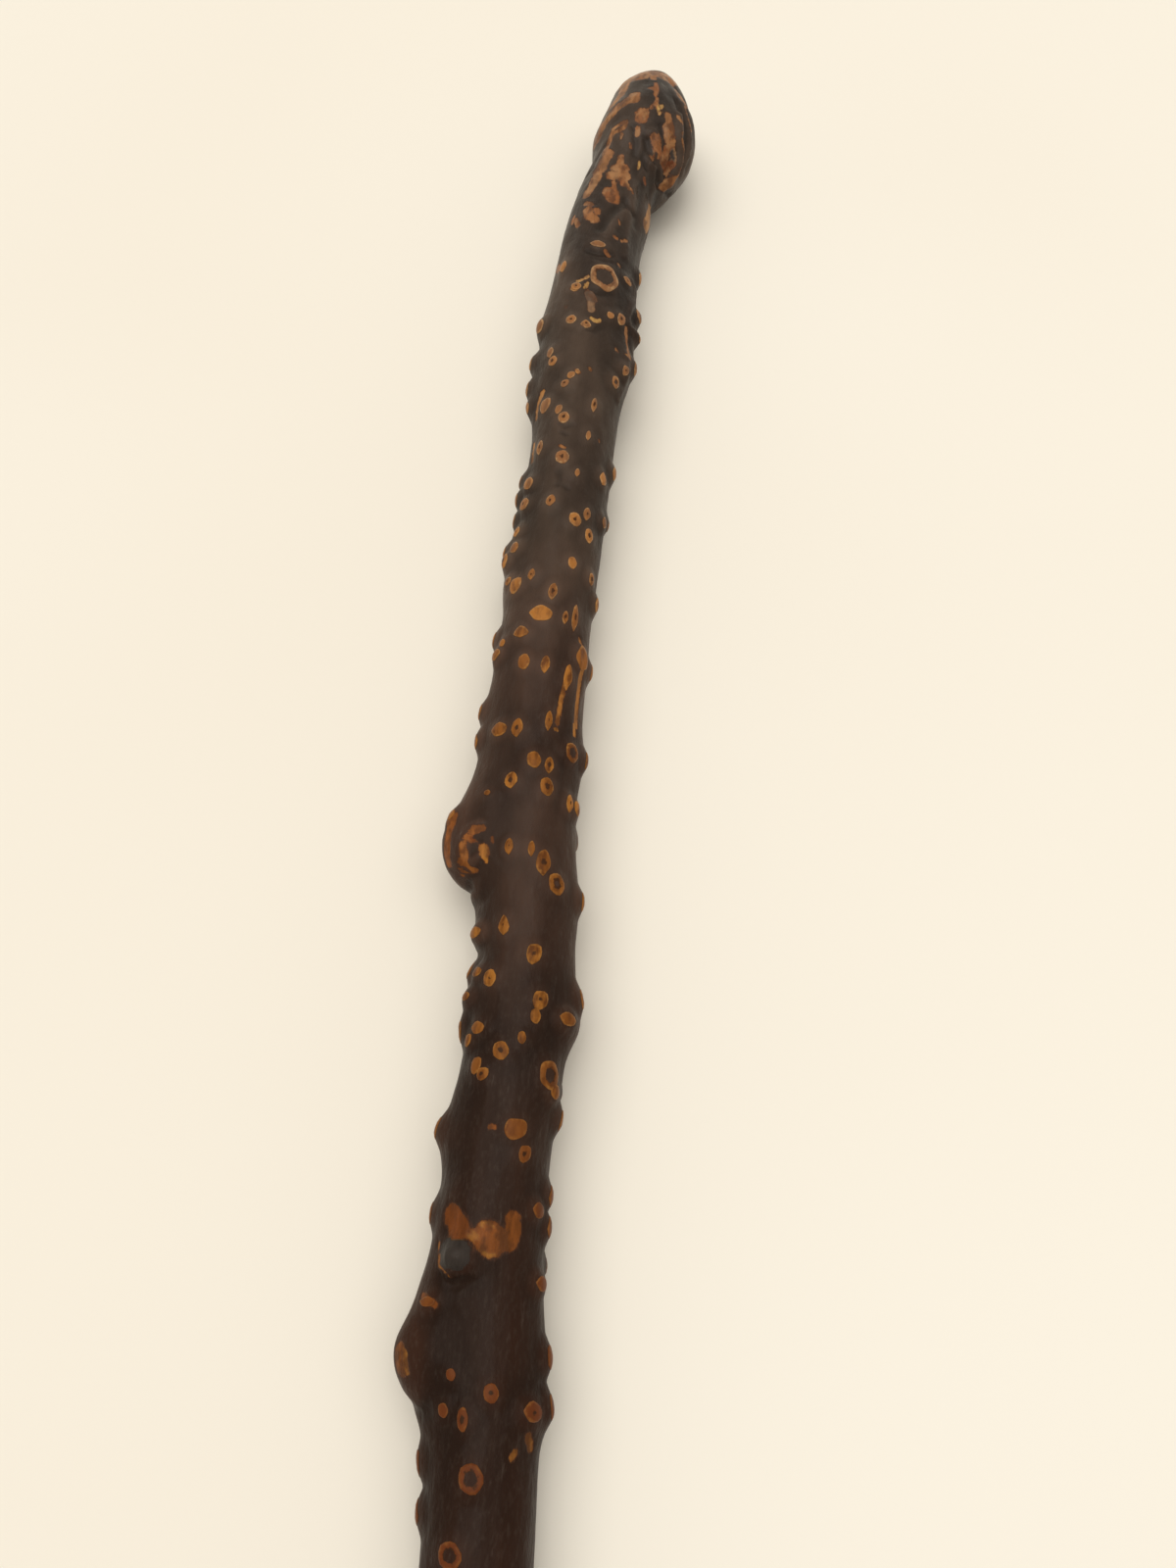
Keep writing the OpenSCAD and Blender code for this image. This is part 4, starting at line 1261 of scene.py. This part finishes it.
# %% [markdown]
# ## The wood inside
#
# The core fills the bark and ends in a turned tenon inside the ferrule. It stays hidden, but a model
# that is cut open or exported should still have it, so it is lofted from the same net, one bark's
# thickness deeper, and closed by the tenon.

# %% Build the core
CORE_GAP = 0.05
TENON_SIDES = SIDES // INNER_EVERY_SIDE
core_tree = BVHTree.FromObject(frame["nodes"]["wood_core"], bpy.context.evaluated_depsgraph_get())
tenon_end = CROWN_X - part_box("wood_core")[0].x / MM
tenon_middle = np.array((FOOT + tenon_end) / 2)
up_there = outward(tenon_middle, np.array(0.0))
top = Vector(on_axis(axis_points, tenon_middle) + RAY_START * up_there) * MM
tenon_radius = RAY_START - core_tree.ray_cast(top, -Vector(up_there))[3] / MM
core_pole, core_points = inner_net(BARK_THICKNESS + CORE_GAP)
core_faces, shoulder_rim = net_faces(0, *core_points.shape[:2])
rim_degrees = side_degrees[::INNER_EVERY_SIDE]


def tenon_ring(place):
    arms = tenon_radius * outward(np.full(TENON_SIDES, place), rim_degrees)
    return on_axis(axis_points, np.array(place)) + arms


core_all = np.concatenate([[core_pole], core_points.reshape(-1, 3),
                           tenon_ring(FOOT), tenon_ring(tenon_end)])
tenon_starts = (len(core_all) - 2 * TENON_SIDES, len(core_all) - TENON_SIDES)
loops = [shoulder_rim] + [list(range(start, start + TENON_SIDES)) for start in tenon_starts]
for upper, lower in zip(loops, loops[1:]):
    for k in range(TENON_SIDES):
        n = (k + 1) % TENON_SIDES
        core_faces.append((upper[k], lower[k], lower[n], upper[n]))
core_faces.append(tuple(loops[-1]))
print("core:", len(core_all), "points, tenon radius", round(tenon_radius, 2), "mm")


# %% Make the core's wood
def plain_wood():
    material, tree, shader = start_material("core wood", Roughness=0.55)
    grain = pattern(tree, 160, (0.05, 1, 1), detail=6)
    colour = blend_colours(tree, remap(tree, grain, 0.3, 0.7), rgb(196, 150, 100), rgb(150, 100, 58))
    dress(tree, shader, Base_Color=colour, Normal=raised(tree, grain, 0.2, 0.0003))
    return material


core = finish_piece("core_wood", core_all, core_faces, plain_wood(), "wood_core")
print("core_wood:", len(core.data.polygons), "faces")

# %% [markdown]
# ## Brass and steel at the foot
#
# The ferrule, its pins and its tip are turned metal, and the construction model already has their
# true rounds, so they stay and only get a finish. Turning leaves fine marks round the axis, which is
# noise squeezed along the stick. Use leaves dull, darker brass, and brown specks on the steel.


# %% Make the metals
def worn_metal(name, bright, dull, spots, roughness):
    material, tree, shader = start_material(name, Metallic=1.0)
    marks = pattern(tree, 90, (26, 1, 1), detail=4, roughness=0.7)
    stain = pattern(tree, 130, detail=6, roughness=0.65)
    colour = blend_colours(tree, remap(tree, stain, 0.38, 0.66), bright, dull)
    colour = blend_colours(tree, remap(tree, stain, 0.6, 0.72, 0.0, 0.7), colour, spots)
    dullness = reckon(tree, "ADD", remap(tree, stain, 0.3, 0.7, roughness - 0.08, roughness + 0.14),
                      remap(tree, marks, 0.3, 0.7, -0.06, 0.06))
    dress(tree, shader, Base_Color=colour, Roughness=dullness, Normal=raised(tree, marks, 0.18, 0.0002))
    return material


brass = worn_metal("worn brass", rgb(214, 174, 96), rgb(160, 118, 62), rgb(92, 66, 40), 0.32)
pin_brass = worn_metal("pin brass", rgb(224, 190, 118), rgb(178, 138, 78), rgb(100, 74, 46), 0.28)
steel = worn_metal("worn steel", rgb(178, 178, 180), rgb(128, 126, 124), rgb(96, 70, 52), 0.38)
for node, metal in (("ferrule", brass), ("ferrule_pins", pin_brass), ("ferrule_tip", steel)):
    frame["nodes"][node].material_slots[0].material = metal
print("metals:", brass.name, pin_brass.name, steel.name)
